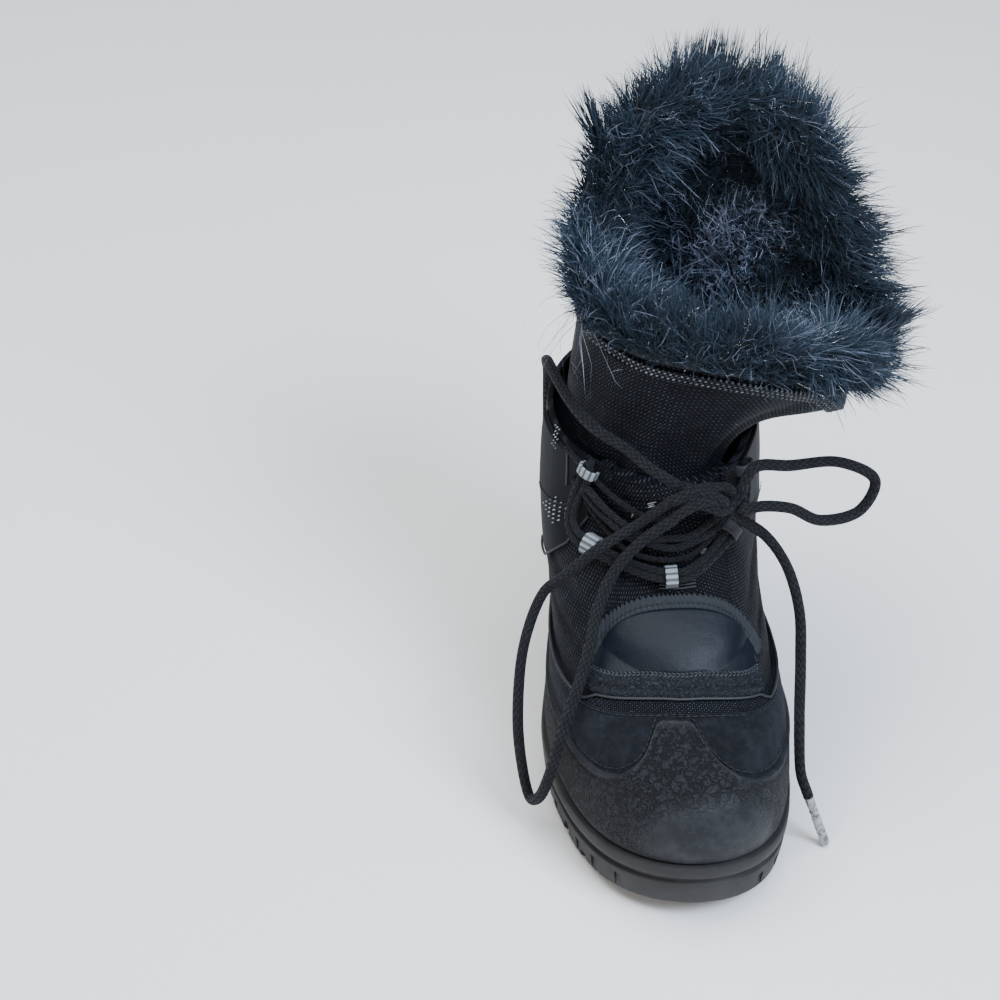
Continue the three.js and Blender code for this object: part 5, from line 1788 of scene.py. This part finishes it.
def fur_tree():
    """Grows one kind of hair on a hide that carries comb, reach, thick and tuft."""
    tree = bpy.data.node_groups.new("grow_fur", "GeometryNodeTree")
    face = tree.interface
    face.new_socket("Hide", in_out="INPUT", socket_type="NodeSocketGeometry")
    for label, kind in [
        ("Strand", "NodeSocketObject"), ("Finish", "NodeSocketMaterial"), ("Density", FLOAT),
        ("Length", FLOAT), ("Width", FLOAT), ("Tangle", FLOAT), ("Droop", FLOAT),
        ("Lock Size", FLOAT), ("Lock Pull", FLOAT), ("Curl", FLOAT), ("Pale", FLOAT),
        ("Patchy", FLOAT), ("Seed", "NodeSocketInt"),
    ]:
        face.new_socket(label, in_out="INPUT", socket_type=kind)
    face.new_socket("Fur", in_out="OUTPUT", socket_type="NodeSocketGeometry")
    n = Nodes(tree)
    given = n.add("NodeGroupInput").outputs

    def named(label, kind="FLOAT"):
        return n.add("GeometryNodeInputNamedAttribute", {"Name": label}, data_type=kind).outputs[0]

    def chance(low, high, offset):
        seed = n.math("ADD", given["Seed"], offset)
        node = n.add("FunctionNodeRandomValue", {2: low, 3: high, "Seed": seed}, data_type="FLOAT")
        return node.outputs[1]

    def vector(operation, a, b, key=1):
        return n.add("ShaderNodeVectorMath", {0: a, key: b}, operation=operation).outputs[0]

    place = n.add("GeometryNodeInputPosition").outputs[0]
    patches = n.noise(place, 24, 3.0, 0.6)
    # patch makes the hairs denser and paler; in the tufts that paleness is partly painted light.
    patch = n.math("MAXIMUM", n.math("MULTIPLY", n.ramp(patches, 0.5, 0.68), 0.45), named("tuft"))
    spread = n.math("MULTIPLY_ADD", given["Patchy"], n.math("SUBTRACT", patch, 1.0), 1.0)
    factor = n.math("MULTIPLY", named("thick"), spread)
    density = n.math("MULTIPLY", given["Density"], factor)
    grown = n.add(
        "GeometryNodeDistributePointsOnFaces",
        {"Mesh": given["Hide"], "Density": density, "Seed": given["Seed"]},
        distribute_method="RANDOM",
    ).outputs[0]

    def store(geometry, label, kind, value):
        inputs = {"Geometry": geometry, "Name": label, "Value": value}
        return n.add("GeometryNodeStoreNamedAttribute", inputs, data_type=kind, domain="POINT").outputs[0]

    scale_up = n.math("MULTIPLY", named("reach"), chance(0.55, 1.25, 1))
    length = n.math("MULTIPLY", scale_up, given["Length"])
    tone = n.math("MULTIPLY", given["Pale"], n.math("MULTIPLY_ADD", patch, 0.7, chance(0.0, 0.45, 2)))
    grown = store(grown, "root", "FLOAT_VECTOR", place)
    grown = store(grown, "hair", "FLOAT", length)
    grown = store(grown, "pale", "FLOAT", tone)
    stray = n.add(
        "FunctionNodeRandomValue", {0: (-1, -1, -1), 1: (1, 1, 1), "Seed": n.math("ADD", given["Seed"], 7)},
        data_type="FLOAT_VECTOR",
    ).outputs[0]
    way = vector("ADD", named("comb", "FLOAT_VECTOR"), vector("SCALE", stray, given["Tangle"], "Scale"))
    turn = n.add("FunctionNodeAlignRotationToVector", {"Vector": way}, axis="Z").outputs[0]
    width = n.math("MULTIPLY", given["Width"], chance(0.7, 1.2, 3))
    size = n.add("ShaderNodeCombineXYZ", {0: width, 1: width, 2: length}).outputs[0]
    strand = n.add("GeometryNodeObjectInfo", {"Object": given["Strand"]}).outputs["Geometry"]
    hairs = n.add(
        "GeometryNodeInstanceOnPoints",
        {"Points": grown, "Instance": strand, "Rotation": turn, "Scale": size},
    ).outputs[0]
    hairs = n.add("GeometryNodeRealizeInstances", {0: hairs}).outputs[0]
    root = named("root", "FLOAT_VECTOR")
    bend = n.math("POWER", named("tip"), 1.7)
    locks = n.math("DIVIDE", 1.0, given["Lock Size"])
    cells = n.add("ShaderNodeTexVoronoi", {"Vector": root, "Scale": locks})
    gather = vector("SUBTRACT", cells.outputs["Position"], root)
    gather = vector("SCALE", gather, n.math("MULTIPLY", bend, given["Lock Pull"]), "Scale")
    sag = n.math("MULTIPLY", n.math("MULTIPLY", bend, named("hair")), given["Droop"])
    sag = n.add("ShaderNodeCombineXYZ", {2: n.math("MULTIPLY", sag, -1.0)}).outputs[0]
    waves = n.add("ShaderNodeTexNoise", {"Vector": place, "Scale": 130.0, "Detail": 1.0}).outputs["Color"]
    waves = vector("SUBTRACT", waves, (0.5, 0.5, 0.5))
    waves = vector("SCALE", waves, n.math("MULTIPLY", bend, given["Curl"]), "Scale")
    offset = vector("ADD", vector("ADD", gather, sag), waves)
    hairs = n.add("GeometryNodeSetPosition", {"Geometry": hairs, "Offset": offset}).outputs[0]
    hairs = n.add("GeometryNodeSetMaterial", {"Geometry": hairs, "Material": given["Finish"]}).outputs[0]
    n.add("NodeGroupOutput", {"Fur": hairs})
    return tree


grow_fur = fur_tree()


def grow(name, strand, finish_name, on=hide, **values):
    """Runs the fur tree over a hide and keeps the result as a plain mesh."""
    piece = hold(name, on.data)
    modifier = piece.modifiers.new("fur", "NODES")
    modifier.node_group = grow_fur
    given = {"Strand": strand, "Finish": finishes[finish_name], **values}
    for item in grow_fur.interface.items_tree:
        if item.in_out == "INPUT" and item.name in given:
            modifier[item.identifier] = given[item.name]
    plain_mesh(piece)
    piece.name = name
    piece.data.polygons.foreach_set("use_smooth", [True] * len(piece.data.polygons))
    return dress(piece, finish_name, "fur")


strand = strand_mesh("strand", 3, [(0, 1), (0.45, 0.8), (0.8, 0.45), (1, 0)])
FUR = [
    ("fur_pile_a", "fur", dict(Density=4.0e5, Length=0.0125, Width=0.00021, Tangle=0.5, Droop=0.12)),
    ("fur_pile_b", "fur", dict(Density=4.0e5, Length=0.0115, Width=0.00021, Tangle=0.6, Droop=0.15)),
    ("fur_pile_c", "fur", dict(Density=3.4e5, Length=0.0155, Width=0.0002, Tangle=0.42, Droop=0.15)),
    ("fur_locks", "fur", {
        "Density": 8.0e4, "Length": 0.021, "Width": 0.00024, "Tangle": 0.3, "Droop": 0.15, "Lock Size": 0.012,
        "Lock Pull": 0.85,
    }),
    ("fur_guard_hair", "pale fur", dict(Density=5.6e5, Length=0.0185, Width=0.00015, Tangle=0.6, Droop=0.2)),
    ("fur_tinsel", "glitter", dict(Density=2.6e4, Length=0.0125, Width=0.00012, Tangle=0.9, Droop=0.1)),
]
for seed, (name, finish_name, values) in enumerate(FUR):
    common = {"Seed": seed + 11, "Pale": 1.0, "Patchy": 0.0, "Curl": 0.007}
    if finish_name == "pale fur":
        common.update(Pale=0.9, Patchy=0.93, Curl=0.014)
    grow(name, strand, finish_name, **{**common, "Lock Size": 0.011, "Lock Pull": 0.45, **values})

# Wet-looking points of hair that stand out of the collar's outline: place and size in millimetres.
POINTS = [
    (13, 95, 228, 2.6), (21, 95, 227, 1.8), (36, 92.5, 226, 3.0), (47, 88, 219, 2.2),
    (53, 83, 213, 2.2), (66, 68, 184, 2.2), (74, 37, 158, 2.4), (73, 48, 149, 2.6),
    (71, 47, 172, 1.8), (-25.6, 71, 219, 2.0), (7, 93.5, 228, 1.8), (-33, 40, 196, 2.2),
    (60, 20, 160, 2.0), (74, 30, 160, 2.0),
]


def repaint(piece, label, values):
    """Sets a number on every point of a piece."""
    numbers = np.asarray(values, np.float32).ravel()
    piece.data.attributes[label].data.foreach_set("value", numbers)


pointed = hold("pointed_hide", hide.data.copy())
spots = sum(np.exp(-np.sum((hide_grid - t[:3]) ** 2, -1) / (1.7 * t[3]) ** 2) for t in POINTS)
repaint(pointed, "thick", smoothstep(spots, 0.35, 0.8) * (thick > 0))
repaint(pointed, "reach", np.ones(hide_grid.shape[:2]))
grow(
    "fur_points", strand, "fur", pointed, Seed=29, Density=4.5e6, Length=0.0225, Width=0.0003,
    Tangle=0.1, Droop=0.05, Pale=0.8, Patchy=0.0, Curl=0.004,
    **{"Lock Size": 0.009, "Lock Pull": 0.55},
)
bpy.data.objects.remove(pointed)


def grow_tuft(name, middle, spread, way, **values):
    """Long pale hairs that stand in one place on the hide, all combed one way."""
    tufted = hold(name + "_hide", hide.data.copy())
    near = np.exp(-np.sum((hide_grid - middle) ** 2, -1) / spread**2) * (thick > 0)
    combed = np.tile(unit(np.array(way, float)), near.shape + (1,))
    marks = {"thick": smoothstep(near, 0.2, 0.9), "reach": np.ones(near.shape), "tuft": near}
    for label, marked in marks.items():
        repaint(tufted, label, marked)
    tufted.data.attributes["comb"].data.foreach_set("vector", combed.astype(np.float32).ravel())
    grow(name, strand, "pale fur", tufted, Pale=1.0, Patchy=0.0, **values)
    bpy.data.objects.remove(tufted)


# Hairs hang from the collar's corner at the image's left, and long pale hairs stand together inside the
# opening; their paleness there is partly painted light that offsets the shade in the hollow.
corner = hide_grid[int(0.795 * FUR_COLUMNS), 28]
grow_tuft(
    "fur_hanging", corner, 9.0, (-0.1, -0.5, -0.8), Seed=37, Density=1.8e5, Length=0.024,
    Width=0.0001, Tangle=0.75, Droop=0.35, Curl=0.035, **{"Lock Size": 0.012, "Lock Pull": 0.25},
)
grow_tuft(
    "fur_tuft_inside", (21, 78, 172), 14.0, (-0.2, -0.7, 0.7), Seed=41, Density=4.4e5, Length=0.027,
    Width=0.0001, Tangle=0.4, Droop=0.1, Curl=0.02, **{"Lock Size": 0.012, "Lock Pull": 0.5},
)
dress(hide, "hide", "fur", "fur_collar")
bpy.data.objects.remove(strand)
